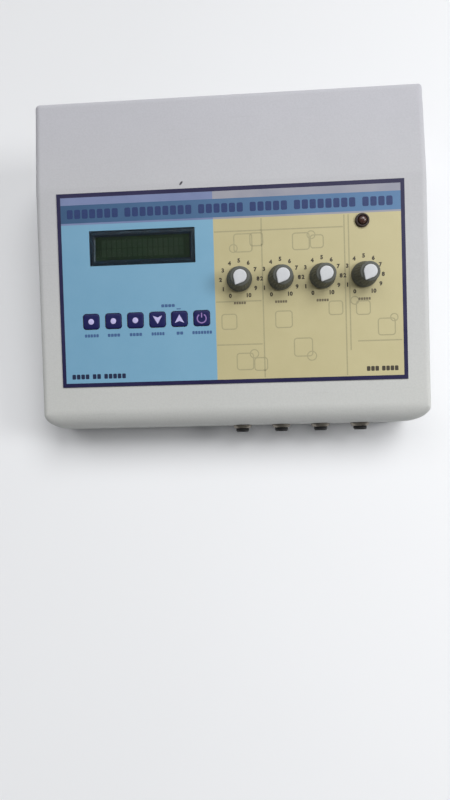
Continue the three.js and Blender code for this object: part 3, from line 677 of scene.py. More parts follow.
# ---------------------------------------------------------------- finishes
SCUFF = panel_to_row([[-30.9, 69.9, 0]])[0]
M = {
    "cover": scuffed_case(),
    "base": case_material("case_base", BASE_Z * MM),
    "rear_plate": moulded("rear_plate", (150, 153, 156), 0.38, 0.55, 0.025, 150.0, 1900.0, 0.014, 0.2),
    "rubber": moulded("foot_rubber", (34, 34, 36), 0.75, 0.92, 0.18, 160.0, 2600.0, 0.03, 0.35, 0.3),
    "screw": turned_metal("screw_steel", (150, 150, 154), 0.25, 0.42, "z"),
    "print_border": film("print_border", (30, 28, 66), (40, 36, 74)),
    # the along colours make these prints lighter to the right: painted light
    "print_blue": film("print_blue", (118, 166, 194), (127, 173, 200), along=((114, 160, 189), (140, 184, 207))),
    "print_beige": film("print_beige", (185, 176, 133), (195, 186, 143), along=((184, 174, 133), (199, 190, 150))),
    "print_band": film("print_band", (58, 88, 124), (72, 104, 142), along=((46, 78, 112), (104, 144, 186))),
    "print_strip_blue": film("print_strip_blue", (112, 124, 162), (124, 136, 174)),
    "print_strip_rose": film("print_strip_rose", (146, 148, 162), (158, 158, 168)),
    "film_back": film("film_back", (150, 148, 140), (160, 158, 150)),
    "ink_title": ink("ink_title", (34, 54, 104)),
    "ink_navy": ink("ink_navy", (66, 96, 140)),
    "ink_dark": ink("ink_dark", (66, 60, 48)),
    "ink_soft": ink("ink_soft", (112, 104, 82)),
    "ink_bold": ink("ink_bold", (30, 40, 70)),
    "ink_faint": ink("ink_faint", (166, 159, 124), 0.06),
    "key": moulded("key_film", (24, 27, 82), 0.4, 0.55, 0.10, 300.0, 3000.0, 0.006, 0.12, 0.25),
    "key_mark": ink("key_mark", (190, 184, 226), 0.05),
    "key_mark_dim": ink("key_mark_dim", (150, 122, 182), 0.05),
    "membrane": moulded("membrane", (205, 200, 182), 0.5, 0.62, 0.05, 80.0),
    "lcd_bezel": moulded("lcd_bezel", (14, 38, 56), 0.34, 0.5, 0.12, 140.0, 1800.0, 0.006, 0.3, 0.4),
    "board": None,
    "knob": moulded("knob_grey", (86, 88, 82), 0.45, 0.6, 0.10, 220.0, 2600.0, 0.012, 0.3, 0.35),
    "cap": moulded("cap_white", (205, 207, 210), 0.34, 0.48, 0.03, 200.0, 2600.0, 0.006, 0.15, 0.45),
    "shaft": turned_metal("shaft_alloy", (196, 196, 194), 0.25, 0.4, "flat"),
    "pot": turned_metal("pot_metal", (165, 164, 158), 0.3, 0.5, "flat"),
    "nickel": turned_metal("nickel", (142, 136, 126), 0.3, 0.46, "y", 0.14, 0.5),
    "nut_steel": turned_metal("nut_steel", (178, 178, 176), 0.25, 0.4, "z"),
    "collar": moulded("lamp_collar", (52, 40, 37), 0.45, 0.6, 0.15, 200.0, 2400.0, 0.008, 0.2, 0.3),
    "black": moulded("black_moulding", (27, 27, 28), 0.42, 0.6, 0.18, 180.0, 2300.0, 0.014, 0.4, 0.45),
    "black_gloss": moulded("black_gloss", (22, 22, 24), 0.2, 0.32, 0.15, 180.0, 2300.0, 0.004, 0.4, 0.5),
    "brass": turned_metal("brass_pin", (186, 160, 104), 0.22, 0.38, "flat"),
    "mark_white": ink("mark_white", (225, 225, 222), 0.05),
    "core": None,
}


def board_material(name, holes=1.0):
    """Solder-masked board: green mask over copper tracks, parts above the board darker."""
    g = Graph(name, 0.4, 0.0, 0.5)
    br = g.n("ShaderNodeTexBrick")
    g.l(g.stretched(110.0, 110.0, 110.0), br.inputs["Vector"])
    br.inputs["Color1"].default_value = lin(22, 84, 48)
    br.inputs["Color2"].default_value = lin(26, 92, 54)
    br.inputs["Mortar"].default_value = lin(58, 130, 80)
    br.inputs["Scale"].default_value = 3.0
    br.inputs["Mortar Size"].default_value = 0.05
    pads = g.span(g.cells(380.0), 0.14, 0.10)
    c = g.mix(pads, br.outputs["Color"], lin(196, 190, 170))
    tall = g.span(g.noise(70.0, 1.0), 0.47, 0.53)
    comp = g.mix(tall, lin(28, 30, 34), lin(178, 176, 168))
    up = g.span(g.axis(2), holes, holes + 0.0004)
    g.colour(g.mix(up, c, comp))
    g.roughness(0.3, 0.5, 200.0)
    g.bump([(br.outputs["Fac"], 0.03), (g.noise(1600.0, 2.0), 0.01)])
    return g


def core_material():
    """Laminated core with a taped winding round its middle."""
    g = Graph("core_steel", 0.5, 0.0, 0.4)
    lam = g.n("ShaderNodeTexWave", wave_type="BANDS", bands_direction="Y")
    g.l(g.co, lam.inputs["Vector"])
    lam.inputs["Scale"].default_value = 320.0
    lam.inputs["Distortion"].default_value = 0.4
    steel = g.ramp(lam.outputs["Fac"], [(0.2, lin(70, 72, 76)), (0.8, lin(120, 122, 126))])
    tape = g.ramp(g.noise(240.0, 3.0), [(0.3, lin(188, 150, 60)), (0.7, lin(204, 168, 78))])
    dx = g.calc("ABSOLUTE", g.calc("SUBTRACT", g.axis(1), 0.040))
    wind = g.span(dx, 0.0142, 0.0146)
    g.colour(g.mix(wind, steel, tape))
    g.roughness(0.35, 0.6, 260.0)
    g.bump([(lam.outputs["Fac"], 0.05), (g.noise(900.0, 2.0), 0.02)])
    return g


def tinted_glass():
    """Clear display window with a grey tint, faint smears in its gloss."""
    g = Graph("window_clear", 0.1, 0.0, 0.3)
    g.b.inputs["Transmission Weight"].default_value = 1.0
    g.b.inputs["IOR"].default_value = 1.3
    g.colour(g.ramp(g.noise(60.0, 3.0), [(0.35, (0.80, 0.86, 0.86)), (0.65, (0.88, 0.92, 0.92))]))
    g.l(g.span(g.noise(90.0, 5.0, 0.6), 0.35, 0.75, 0.02, 0.06), g.b.inputs["Roughness"])
    g.bump([(g.noise(150.0, 2.0), 0.001)])
    return g


def lcd_material():
    """Display glass, switched off: dark olive in cloudy patches, crossed by faint darker bands."""
    g = Graph("lcd_glass", 0.2, 0.0, 0.3)
    mud = g.ramp(g.noise(34.0, 4.0, 0.55), [(0.3, lin(29, 46, 25)), (0.55, lin(37, 57, 31)), (0.75, lin(41, 62, 34))])
    lines = g.n("ShaderNodeTexWave", wave_type="BANDS", bands_direction="X")
    g.l(g.co, lines.inputs["Vector"])
    lines.inputs["Scale"].default_value = 500.0
    c = g.mix(g.span(lines.outputs["Fac"], 0.3, 0.9, 0.0, 0.10), mud, lin(20, 28, 16))
    g.colour(c)
    g.roughness(0.14, 0.26, 90.0)
    g.bump([(g.noise(60.0, 2.0), 0.01)])
    return g


def lamp_material():
    """Diffused red lamp lens, unlit."""
    g = Graph("lamp_red", 0.25, 0.0, 0.5)
    g.colour(g.ramp(g.noise(700.0, 3.0), [(0.3, lin(60, 36, 31)), (0.7, lin(78, 46, 38))]))
    g.b.inputs["Coat Weight"].default_value = 0.4
    g.roughness(0.18, 0.34, 500.0)
    g.bump([(g.noise(1500.0, 2.0), 0.006)])
    return g


M["board"] = board_material("board_green", 0.0137)
M["lcd_board"] = board_material("lcd_board_green", 0.5)
M["core"] = core_material()
M["window"] = tinted_glass()
M["lcd"] = lcd_material()
M["lamp"] = lamp_material()

# ---------------------------------------------------------------- case shells
GY0, GY1 = REAR_Y - PLATE_INSET - PLATE_T - GROOVE_PLAY, REAR_Y - PLATE_INSET + GROOVE_PLAY
ops = [("-", hood(WALL, WALL, PART_Z - 5, 12, 4, 8, 4, False))]
for sx in (-1, 1):
    for sy in (-1, 1):
        x, y = sx * SCREW_X, sy * SCREW_Y
        ops.append(("+", Blank().add(rod(4.6, 13.4, inner_roof(y) + 1.2, 32), shift(x, y, 0))))
for sx in (-1, 1):
    for sy in (-1, 1):
        x, y = sx * SCREW_X, sy * SCREW_Y
        xa, xb = sorted((sx * (SCREW_X + 4), sx * (CASE_W / 2 - WALL + 0.5)))
        ops.append(("+", box(xa, xb, y - 1, y + 1, PART_Z + 1.5, inner_roof(y - 1) + 0.5)))
        ops.append(("-", Blank().add(rod(1.8, 12, 30, 20), shift(x, y, 0))))
hw = CASE_W / 2 - WALL + GROOVE_DEEP
ops.append(("-", box(-hw, hw, GY0, GY1, PART_Z - 5, inner_roof(GY0) + GROOVE_DEEP)))
ops.append(("-", tilt_box(LCD_X, LCD_Y, LCD_W + 0.6, LCD_H + 0.6, -6, 3)))
ops.append(("-", tilt_box((KEY_X[0] + KEY_X[5]) / 2, KEY_Y, 92, 17, -1.6, 3, 2)))
for x in DIAL_X:
    ops.append(("-", Blank().add(rod(4.3, -6, 3, 32), on_panel(x, DIAL_Y))))
ops.append(("-", Blank().add(rod(4.1, -6, 3, 32), on_panel(LED_X, LED_Y))))
for x in JACK_X:
    ops.append(("-", Blank().add(rod(4.9, -8, 8, 32), forward(x, FRONT_Y, JACK_Z))))
cover = carve(hood(0, 0.02, PART_Z, -0.03), ops)
piece("cover_shell", cover, [M["cover"]], "console", ["top_cover"])

ops = [("-", tray(WALL, BASE_Z + WALL, PART_Z + 5, 0.8, 12, 2, 8, 4, False)),
       ("-", box(-hw, hw, GY0, GY1, BASE_Z + WALL - GROOVE_DEEP, PART_Z + 5))]
for x, y, r, z in [(-8, -52, 3.2, 11.7), (98, -52, 3.2, 11.7), (-8, 44, 3.2, 11.7), (98, 44, 3.2, 11.7), (-102, 40, 4, 9.7), (-46, 40, 4, 9.7)]:
    ops.append(("+", Blank().add(rod(r, BASE_Z + 1, z, 24), shift(x, y, 0))))
for sx in (-1, 1):
    for sy in (-1, 1):
        ops.append(("+", Blank().add(rod(6.4, BASE_Z + 1, 13, 36), shift(sx * SCREW_X, sy * SCREW_Y, 0))))
for sx in (-1, 1):
    for sy in (-1, 1):
        x, y = sx * SCREW_X, sy * SCREW_Y
        # counterbore with a small lead-in
        ops.append(("-", Blank().add(lathe([(0, BASE_Z - 1), (4.9, BASE_Z - 1), (4.9, BASE_Z), (3.9, BASE_Z + 0.7), (3.9, 9), (0, 9)], 36), shift(x, y, 0))))
        ops.append(("-", Blank().add(rod(2, 8, 15, 20), shift(x, y, 0))))
base = carve(tray(0, BASE_Z, PART_Z - SHELL_GAP, R_BASE, -0.03), ops)
piece("base_shell", base, [M["base"]], "console", ["bottom_base"])

# Feet: turned rubber pads with a rolled rim and a ring groove in the sole.
foot = lathe([(0, 0.5), (3.2, 0.5), (3.6, 0.0), (6.7, 0.0), (7.1, 0.25), (7.35, 0.8), (7.8, 3.3), (7.85, 3.85), (0, 3.85)], 56)
for n, x, y in (("front_left", -90, -80), ("front_right", 90, -80), ("rear_left", -90, 80), ("rear_right", 90, 80)):
    piece("rubber_foot_" + n, foot, [M["rubber"]], "console", ["foot_" + n], shift(x, y, 0))

# Case screws: pan head with a tapered cross recess, threaded shank.
prof = [(0, 6.2), (1.9, 6.22), (2.7, 6.5), (3.1, 7.1), (3.2, 7.8), (3.2, 8.7), (1.45, 8.7)]
z = 9.4
while z < 26:
    prof += [(1.15, z), (1.45, z + 0.45), (1.15, z + 0.9)]
    z += 0.95
prof += [(0.9, 26.9), (0, 27)]
screw = carve(lathe(prof, 32), [("-", box(-1.7, 1.7, -0.38, 0.38, 5.5, 7.5)), ("-", box(-0.38, 0.38, -1.7, 1.7, 5.5, 7.5))])
for n, x, y in (("front_left", -1, -1), ("front_right", 1, -1), ("rear_left", -1, 1), ("rear_right", 1, 1)):
    piece("pan_screw_" + n, screw, [M["screw"]], "console", ["case_screw_" + n], shift(x * SCREW_X, y * SCREW_Y, 0))

# ---------------------------------------------------------------- printed front panel
xs = [-116.4, -113.75, SPLIT_X, 113.75, 116.4]
ys = [-66.05, -63.35, 44.6, 45.8, 58.1, 63.2, 66.05]
region = {}
sheet = Blank()
nx, ny = len(xs), len(ys)
for z in (OZ0, OZ1 - 0.08):
    for y in ys:
        for x in xs:
            sheet.v.append([x, y, z])
for y in ys:                       # top skin, its outer rim drawn in to a fine chamfer
    for x in xs:
        sheet.v.append([x - math.copysign(0.08, x) * (abs(x) > 116), y - math.copysign(0.08, y) * (abs(y) > 66), OZ1])


def cell_region(i, j):
    if i in (0, nx - 2) or j in (0, ny - 2):
        return 0
    if j == ny - 4:
        return 3
    if j in (ny - 3, ny - 5):
        return 4 if i == 1 else 5
    return 1 if i == 1 else 2


N = nx * ny
for j in range(ny - 1):
    for i in range(nx - 1):
        a, c, d, e = j * nx + i, j * nx + i + 1, (j + 1) * nx + i + 1, (j + 1) * nx + i
        sheet.f.append([a, e, d, c])
        sheet.m.append(6)
        sheet.f.append([2 * N + a, 2 * N + c, 2 * N + d, 2 * N + e])
        sheet.m.append(cell_region(i, j))
rim = [i for i in range(nx)] + [j * nx + nx - 1 for j in range(1, ny)] + [(ny - 1) * nx + i for i in range(nx - 2, -1, -1)] + [j * nx for j in range(ny - 2, 0, -1)]
for lo_, hi_, mm in ((0, N, 6), (N, 2 * N, 0)):
    for a, c in zip(rim, rim[1:] + rim[:1]):
        sheet.f.append([lo_ + a, lo_ + c, hi_ + c, hi_ + a])
        sheet.m.append(mm)
flat_ops = [("-", Blank().add(plate(round_rect(LCD_W, LCD_H, 0.4, 3), -1, 3), shift(LCD_X, LCD_Y, 0)))]
for x in KEY_X:
    flat_ops.append(("-", Blank().add(plate(round_rect(KEY_W + 0.6, KEY_H + 0.6, KEY_R + 0.3, 6), -1, 3), shift(x, KEY_Y, 0))))
for x in DIAL_X:
    flat_ops.append(("-", Blank().add(rod(4.3, -1, 3, 32), shift(x, DIAL_Y, 0))))
flat_ops.append(("-", Blank().add(rod(4.1, -1, 3, 32), shift(LED_X, LED_Y, 0))))
sheet = carve(sheet, flat_ops)
piece("panel_print", sheet, [M["print_border"], M["print_blue"], M["print_beige"], M["print_band"], M["print_strip_blue"], M["print_strip_rose"], M["film_back"]],
      "console", ["front_overlay"], on_panel(0, 0))

Z0, Z1 = OZ1 - 0.02, OZ1 + 0.035


def bars(spec, y, h, jitter=0):
    """Row of plain blocks: [(x0, x1), ...]."""
    b = Blank()
    for x0, x1 in spec:
        w = x1 - x0
        b.add(plate(round_rect(w, h, min(w, h) * 0.22, 2), Z0, Z1), shift((x0 + x1) / 2, y, 0))
    return b


def words(x0, x1, counts, gap=1.0, space=3.4):
    """Plain blocks in groups between x0 and x1."""
    total = sum(counts)
    w = (x1 - x0 - space * (len(counts) - 1) - gap * (total - len(counts))) / total
    out, x = [], x0
    for c in counts:
        for _ in range(c):
            out.append((x, x + w))
            x += w + gap
        x += space - gap
    return out


# Title band: a row of plain blocks, no lettering.
piece("print_title_blocks", bars(words(-109.5, 108.5, [7, 9, 6, 5, 8, 4], 1.1, 4.6), 51.9, 6.2), [M["ink_title"]], "console", (), on_panel(0, 0))
# Plain bars under the keys, above the middle keys and in the lower corners.
b = Blank()
for x, w in zip(KEY_X, (9.5, 8.4, 8.4, 8.8, 4.4, 13.2)):
    b.add(bars(words(x - w / 2, x + w / 2, [max(2, round(w / 1.9))], 0.35), -31.0, 2.1))
b.add(bars(words(-46.8, -37.6, [4], 0.35), -12.2, 2.0))
b.add(bars([(-36.4, -33.6)], -14.6, 0.7))
piece("print_key_bars", b, [M["ink_navy"]], "console", (), on_panel(0, 0))
b = Blank()
b.add(bars(words(-109.6, -72.6, [4, 2, 5], 0.6, 2.4), -58.9, 3.3))
piece("print_corner_bars_left", b, [M["ink_bold"]], "console", (), on_panel(0, 0))
b = Blank()
b.add(bars(words(89.4, 110.0, [3, 4], 0.5, 2.0), -58.6, 3.2))
piece("print_corner_bars_right", b, [M["ink_dark"]], "console", (), on_panel(0, 0))


def numeral(text, size, bold):
    """Flat figures in Blender's own font, closed on all sides, centred on the origin (mm)."""
    cu = bpy.data.curves.new("figure", "FONT")
    cu.body = text
    cu.size = size
    cu.extrude = (Z1 - Z0) / 2
    cu.offset = bold
    cu.resolution_u = 3
    cu.align_x, cu.align_y = "CENTER", "CENTER"
    o = bpy.data.objects.new("figure", cu)
    scene.collection.objects.link(o)
    bpy.context.view_layer.update()
    me = bpy.data.meshes.new_from_object(o.evaluated_get(bpy.context.evaluated_depsgraph_get()))
    bm = bmesh.new()
    bm.from_mesh(me)
    bmesh.ops.remove_doubles(bm, verts=bm.verts, dist=0.001)
    b = Blank()
    bm.verts.index_update()
    b.v = [list(v.co) for v in bm.verts]
    b.f = [[v.index for v in f.verts] for f in bm.faces]
    bm.free()
    a = np.array(b.v)
    mid = (a.min(0) + a.max(0)) / 2
    b.v = (a - mid).tolist()
    b.m = [0] * len(b.f)
    bpy.data.objects.remove(o)
    bpy.data.curves.remove(cu)
    bpy.data.meshes.remove(me)
    return b


RING = 12.55            # numerals stand on this circle
figures = [numeral(str(k), 3.6, 0.2) for k in range(11)]
for n, x in enumerate(DIAL_X):
    b = Blank()
    for k in range(11):
        a = (90 + 150 - 30 * k) * D2R
        b.add(figures[k], shift(x + RING * math.cos(a), DIAL_Y + RING * math.sin(a), (Z0 + Z1) / 2))
    piece(f"print_dial_{n + 1}", b, [M["ink_dark"]], "console", (), on_panel(0, 0), weld=0.0005)
    b = bars(words(x - 4.0, x + 4.0, [5], 0.3), DIAL_Y - 15.9, 1.7)
    piece(f"print_dial_bars_{n + 1}", b, [M["ink_soft"]], "console", (), on_panel(0, 0))

# Faint generic line pattern on the beige field.
ZL = OZ1 + 0.012
b = Blank()
for x, y0, y1 in ((22.0, -62.6, 43.9), (76.6, -62.6, 43.9), (79.4, -46, 43.9)):
    b.add(ribbon([(x, y0), (x, y1)], 0.85, Z0, ZL))
for y, x0, x1 in ((36.0, -9.6, 75.8), (-11.0, -9.6, 20.9), (-40.0, -9.6, 20.9), (-40.0, 84, 112.9)):
    b.add(ribbon([(x0, y), (x1, y)], 0.85, Z0, ZL))
for cx, cy, w in ((9.5, 28.0, 12), (-1.0, -24.5, 10), (35.5, -24.0, 11), (48.0, -43.0, 12), (9.0, -51.5, 11), (48.0, 27.5, 11), (103.0, -31.0, 11),
                  (18.5, 30.0, 8.5), (58.5, 27.0, 8.5), (70.0, -17.5, 9), (88.0, -18.0, 9), (19.5, -53.5, 8.5)):
    b.add(ribbon([(px + cx, py + cy) for px, py in round_rect(w, w, 1.8, 4)], 0.75, Z0, ZL, True))
for cx, cy, r in ((3.0, 24.5, 2.6), (53.5, -49.0, 3.0), (54.8, 31.5, 2.6), (15.2, -46.5, 2.8), (108.0, -25.0, 2.4), (82.5, -13.0, 2.6)):
    b.add(ribbon(circle(cx, cy, r), 0.7, Z0, ZL + 0.004, True))
piece("print_line_pattern", b, [M["ink_faint"]], "console", (), on_panel(0, 0), weld=0)

# ---------------------------------------------------------------- keys
key = rr_loft(KEY_W, KEY_H, KEY_R, [(0.15, -0.3), (0, -0.15), (0, 0.45), (0.06, 0.62), (0.22, 0.78), (0.5, 0.90), (1.0, 0.97), (2.0, 1.02), (3.4, 1.035)], 8)
KZ0, KZ1 = 1.0, 1.085


def arrow(s):
    return plate([(0, -3.0 * s), (3.2, 2.7 * s), (0, 1.4 * s), (-3.2, 2.7 * s)][::(1 if s > 0 else -1)], KZ0, KZ1)


def arrow_solid(s):
    """Arrowhead as two triangles, so that its notch stays clean."""
    tip, r, n_, l_ = (0, -3.0 * s), (3.2, 2.7 * s), (0, 1.4 * s), (-3.2, 2.7 * s)
    b = Blank()
    pts = [tip, r, n_, l_]
    for z in (KZ0, KZ1):
        for p in pts:
            b.v.append([p[0], p[1], z])
    tris = [[0, 1, 2], [0, 2, 3]]
    if s < 0:
        tris = [t[::-1] for t in tris]
    for t in tris:
        b.f.append([4 + i for i in t])
        b.f.append(t[::-1])
    ring = [0, 1, 2, 3] if s > 0 else [3, 2, 1, 0]
    for a, c in zip(ring, ring[1:] + ring[:1]):
        b.f.append([a, c, c + 4, a + 4])
    b.m = [0] * len(b.f)
    return b


def power_mark():
    b = Blank()
    b.add(ribbon(circle(0, -0.2, 3.0, 30, 122, 418), 0.75, KZ0, KZ1))
    b.add(ribbon([(0, 0.4), (0, 3.6)], 0.75, KZ0, KZ1))
    return b


for i, x in enumerate(KEY_X):
    n = i + 1
    piece(f"key_pad_{n}", key, [M["key"]], f"keypad_key_{n}", [f"key_{n}"], on_panel(x, KEY_Y), sharp=50)
    if i < 3:
        mark = Blank().add(lathe([(0, KZ0), (1.95, KZ0), (1.95, KZ1 - 0.03), (1.85, KZ1), (0, KZ1)], 32), shift(0, 0, 0))
    elif i < 5:
        mark = arrow_solid(1 if i == 3 else -1)
    else:
        mark = power_mark()
    piece(f"key_mark_{n}", mark, [M["key_mark_dim" if i == 5 else "key_mark"]], f"keypad_key_{n}", (), on_panel(x, KEY_Y), weld=0)

# ---------------------------------------------------------------- display
w, h = LCD_W / 2, LCD_H / 2
piece("display_window", rr_loft(LCD_W - 0.6, LCD_H - 0.6, 0.5, [(0.05, OZ0), (0, OZ0 + 0.05), (0, OZ1 - 0.2), (0.1, OZ1 - 0.1)], 4), [M["window"]], "console", ["lcd_window"], on_panel(LCD_X, LCD_Y), sharp=20)
# Bezel: pressed sheet with a bevelled opening; skirt down to the board.
outer = rr_loft(LCD_W, LCD_H, 0.8, [(0, -7), (0, -0.55), (0.12, -0.27), (0.4, -0.15)], 4)
ops = [("-", rr_loft(LCD_W - 1.6, LCD_H - 1.6, 0.4, [(0, -9), (0, -0.95)], 3)),
       ("-", rr_loft(VIEW_W + 2.2, VIEW_H + 2.2, 1.2, [(1.1, -3), (1.1, -0.85), (0.9, -0.7), (0.1, -0.16), (0.0, 0.5)], 4))]
piece("display_bezel", carve(outer, ops), [M["lcd_bezel"]], "console", ["lcd_frame"], on_panel(LCD_X, LCD_Y))
piece("display_glass", rr_loft(LCD_W - 2.2, LCD_H - 2.2, 0.3, [(0, -3.9), (0, -1.35), (0.1, -1.25)], 3), [M["lcd"]], "console", ["lcd_glass"], on_panel(LCD_X, LCD_Y))
# The 16 x 2 character cells show as slightly darker rectangles.
b = Blank()
for r_ in range(2):
    for c_ in range(16):
        b.add(plate(round_rect(2.95, 5.55, 0.15, 2), -1.26, -1.235), shift((c_ - 7.5) * 3.55, (r_ - 0.5) * 5.95, 0))
piece("display_cells", b, [ink("lcd_cell", (31, 54, 26), 0.06)], "console", (), on_panel(LCD_X, LCD_Y))

# ---------------------------------------------------------------- intensity controls
KZ = 1.1


def flute(r, z, a):
    """Fine ribs on the grip, fading out at its ends and never outside the plain cone."""
    if r < 6.0 or z < KZ + 3.2 or z > 13.6:
        return r
    fade = min(1.0, (z - KZ - 3.2) / 0.8, (13.6 - z) / 0.7)
    return r - 0.32 * max(0.0, fade) * (0.5 - 0.5 * math.cos(24 * a)) ** 0.7


def cone(z):
    return 7.9 + (6.5 - 7.9) * (z - 4.1) / (13.9 - 4.1)


prof = [(0, 12.1), (3.3, 12.1), (3.3, 4.3), (7.3, 4.3), (7.3, 1.25), (7.45, 1.1), (8.3, 1.1), (8.48, 1.25), (8.5, 1.5), (8.5, 2.9), (8.4, 3.25), (8.15, 3.6), (7.92, 3.95)]
prof += [(cone(z_), z_) for z_ in (4.3, 4.7, 5.1, 6.5, 8.0, 9.5, 11.0, 12.3, 12.9, 13.3, 13.62)]
prof += [(6.47, 13.9), (6.36, 14.15), (6.15, 14.35), (5.9, 14.46), (5.3, 14.5), (0, 14.5)]
knob = lathe(prof, 144, flute)
POINTER = (90 + 150) * D2R
hull_r, tip_r, tip_d = 4.3, 0.55, 5.7


def drop_outline(k):
    phi = math.acos((hull_r - tip_r) / tip_d)
    pts = []
    for i in range(41):
        a = POINTER + phi + (2 * math.pi - 2 * phi) * i / 40
        pts.append((k * hull_r * math.cos(a), k * hull_r * math.sin(a)))
    for i in range(9):
        a = POINTER - phi + 2 * phi * i / 8
        pts.append((k * (tip_d * math.cos(POINTER) + tip_r * math.cos(a)), k * (tip_d * math.sin(POINTER) + tip_r * math.sin(a))))
    return pts


cap = loft([[(x, y, z_) for x, y in drop_outline(k)] for k, z_ in ((0.97, 14.65), (1.0, 14.75), (1.0, 15.25), (0.985, 15.40), (0.95, 15.51), (0.88, 15.57), (0.7, 15.60))])
for i, x in enumerate(DIAL_X):
    n = i + 1
    piece(f"grip_{n}", knob, [M["knob"]], f"control_{n}", [f"knob_{n}"], on_panel(x, DIAL_Y), sharp=40)
    piece(f"pointer_cap_{n}", cap, [M["cap"]], f"control_{n}", [f"knob_cap_{n}"], on_panel(x, DIAL_Y), sharp=50)

# Indicator lamp and its collar.
piece("lamp_collar", lathe([(3.2, -5), (3.8, -5), (3.8, 0.8), (4.5, 0.8), (4.65, 0.92), (4.65, 1.45), (4.5, 1.85), (4.15, 2.1), (3.75, 2.14), (3.35, 1.98), (3.2, 1.7), (3.2, -5)], 48),
      [M["collar"]], "console", ["led_collar"], on_panel(LED_X, LED_Y))
piece("lamp_lens", lathe([(0, -9), (2.85, -9), (2.85, 1.5), (2.78, 2.1), (2.55, 2.65), (2.1, 3.15), (1.5, 3.48), (0.8, 3.65), (0, 3.7)], 40),
      [M["lamp"]], "console", ["led_lamp"], on_panel(LED_X, LED_Y), sharp=50)

# ---------------------------------------------------------------- output jacks
prof = [(0, -24), (3.3, -24), (3.3, 4.55), (3.5, 4.9), (3.75, 5.0), (3.95, 4.93), (4.3, 4.3), (4.6, 3.7)]
z = 3.5
while z > -2.6:
    prof += [(4.6, z), (4.35, z - 0.25)]
    z -= 0.5
prof += [(4.6, -2.9), (4.6, -5.0), (0, -5.0)]
# bush and bore as one turned ring, the moulded body behind it
ring = [p for p in prof if p[0] > 0][:-1] + [(4.6, -24)]
bush = lathe([(3.3, -24)] + ring[1:] + [(3.3, -24)], 48)
body_box = carve(soft_box(-7.5, 7.5, -6.5, 6.5, -27, -3.1, 0.4), [("-", rod(4.7, -24.2, 0, 40)), ("-", rod(3.3, -25, -20, 32))])
for i, x in enumerate(JACK_X):
    n = i + 1
    b = Blank().add(bush, None, 0).add(body_box, None, 0)
    for y in (-3.5, 3.5):
        b.add(box(-1.2, 1.2, y - 0.4, y + 0.4, -32, -26.8), None, 1)
    piece(f"jack_socket_{n}", b, [M["black"], M["brass"]], "console", [f"jack_{n}"], forward(x, FRONT_Y, JACK_Z))

    def nut_wave(r, z_, a):
        return r - (0.16 * (0.5 - 0.5 * math.cos(36 * a)) if 0.5 < z_ < 1.3 and r > 6 else 0)
    nut = lathe([(4.9, 0.2), (6.25, 0.2), (6.45, 0.35), (6.45, 0.6), (6.4, 0.95), (6.2, 1.25), (5.85, 1.8), (5.6, 2.2), (5.45, 2.36), (5.1, 2.4), (4.9, 2.28), (4.9, 0.2)], 144, nut_wave)
    piece(f"jack_ring_nut_{n}", nut, [M["nickel"]], "console", [f"jack_nut_{n}"], forward(x, FRONT_Y, JACK_Z), sharp=40)

# ---------------------------------------------------------------- mains hardware on the rear plate
cav = [(-12, 8.2), (-12, -4.4), (-8.2, -8.2), (8.2, -8.2), (12, -4.4), (12, 8.2)]
inlet = carve(rr_loft(31, 24.4, 2, [(0.1, 0.3), (0, 0.4), (0, 2.2), (0.12, 2.6), (0.4, 2.88), (0.8, 3.0)], 6),
              [("+", box(-13.5, 13.5, -9.9, 9.9, -20, 1)), ("-", plate(cav, -13.6, 4)),
               ("-", plate([(x * 1.03, y * 1.04) for x, y in cav], 2.5, 4))])
for x in (-7, 0, 7):
    inlet.add(soft_box(x - 2.4, x + 2.4, -0.4, 0.4, -28, -19.9, 0.1), None, 1)
for x, y in ((-7, -2), (7, -2), (0, 2)):
    inlet.add(soft_box(x - 1, x + 1, y - 2, y + 2, -13.7, -1.6, 0.25), None, 1)
piece("appliance_inlet", inlet, [M["black"], M["brass"]], "console", ["mains_inlet"], rearward(INLET_X, PY, MAINS_Z))

frame_ = carve(rr_loft(15, 21, 1.5, [(0.1, 0.3), (0, 0.4), (0, 1.5), (0.12, 1.85), (0.4, 2.1), (0.7, 2.2)], 6),
               [("+", box(-6.5, 6.5, -9.5, 9.5, -13, 1)), ("-", box(-5.6, 5.6, -8.9, 8.9, -7.2, 3))])
for y in (-6, 6):
    frame_.add(soft_box(-2.4, 2.4, y - 0.4, y + 0.4, -20, -12.9, 0.1), None, 1)
piece("switch_frame", frame_, [M["black"], M["brass"]], "console", ["rocker_frame"], rearward(ROCKER_X, PY, MAINS_Z))

# Rocker: paddle section swept across, its two faces dished, edges rolled at the sides.
sec = [(8.1, 1.2), (8.0, 3.4), (6.6, 2.95), (4.0, 2.42), (2.0, 2.12), (0.0, 2.0), (-2.0, 2.12), (-4.0, 2.42), (-6.6, 2.95), (-8.0, 3.4), (-8.1, 1.2), (-5.6, -3.4), (-2.5, -5.0), (2.5, -5.0), (5.6, -3.4)]
cz = sum(p[1] for p in sec) / len(sec)


def rocker_ring(x, k):
    return [(x, p[0] * (1 - k / 8.0), cz + (p[1] - cz) * (1 - k / 4.5)) for p in sec]


rk = loft([rocker_ring(x, k) for x, k in ((-5.2, 0.35), (-5.1, 0.12), (-4.9, 0.0), (4.9, 0.0), (5.1, 0.12), (5.2, 0.35))])


def rocker_place(v):
    """(x, y up, z out) of the paddle, tipped 10 degrees, in place on the rear plate."""
    v = np.asarray(v, float)
    a = -10 * D2R
    y0_, z0_ = v[:, 2], v[:, 1]          # out of the back, up
    return np.stack([v[:, 0], y0_ * math.cos(a) - z0_ * math.sin(a), y0_ * math.sin(a) + z0_ * math.cos(a)], 1) + np.array([ROCKER_X, PY + 1.0, MAINS_Z])


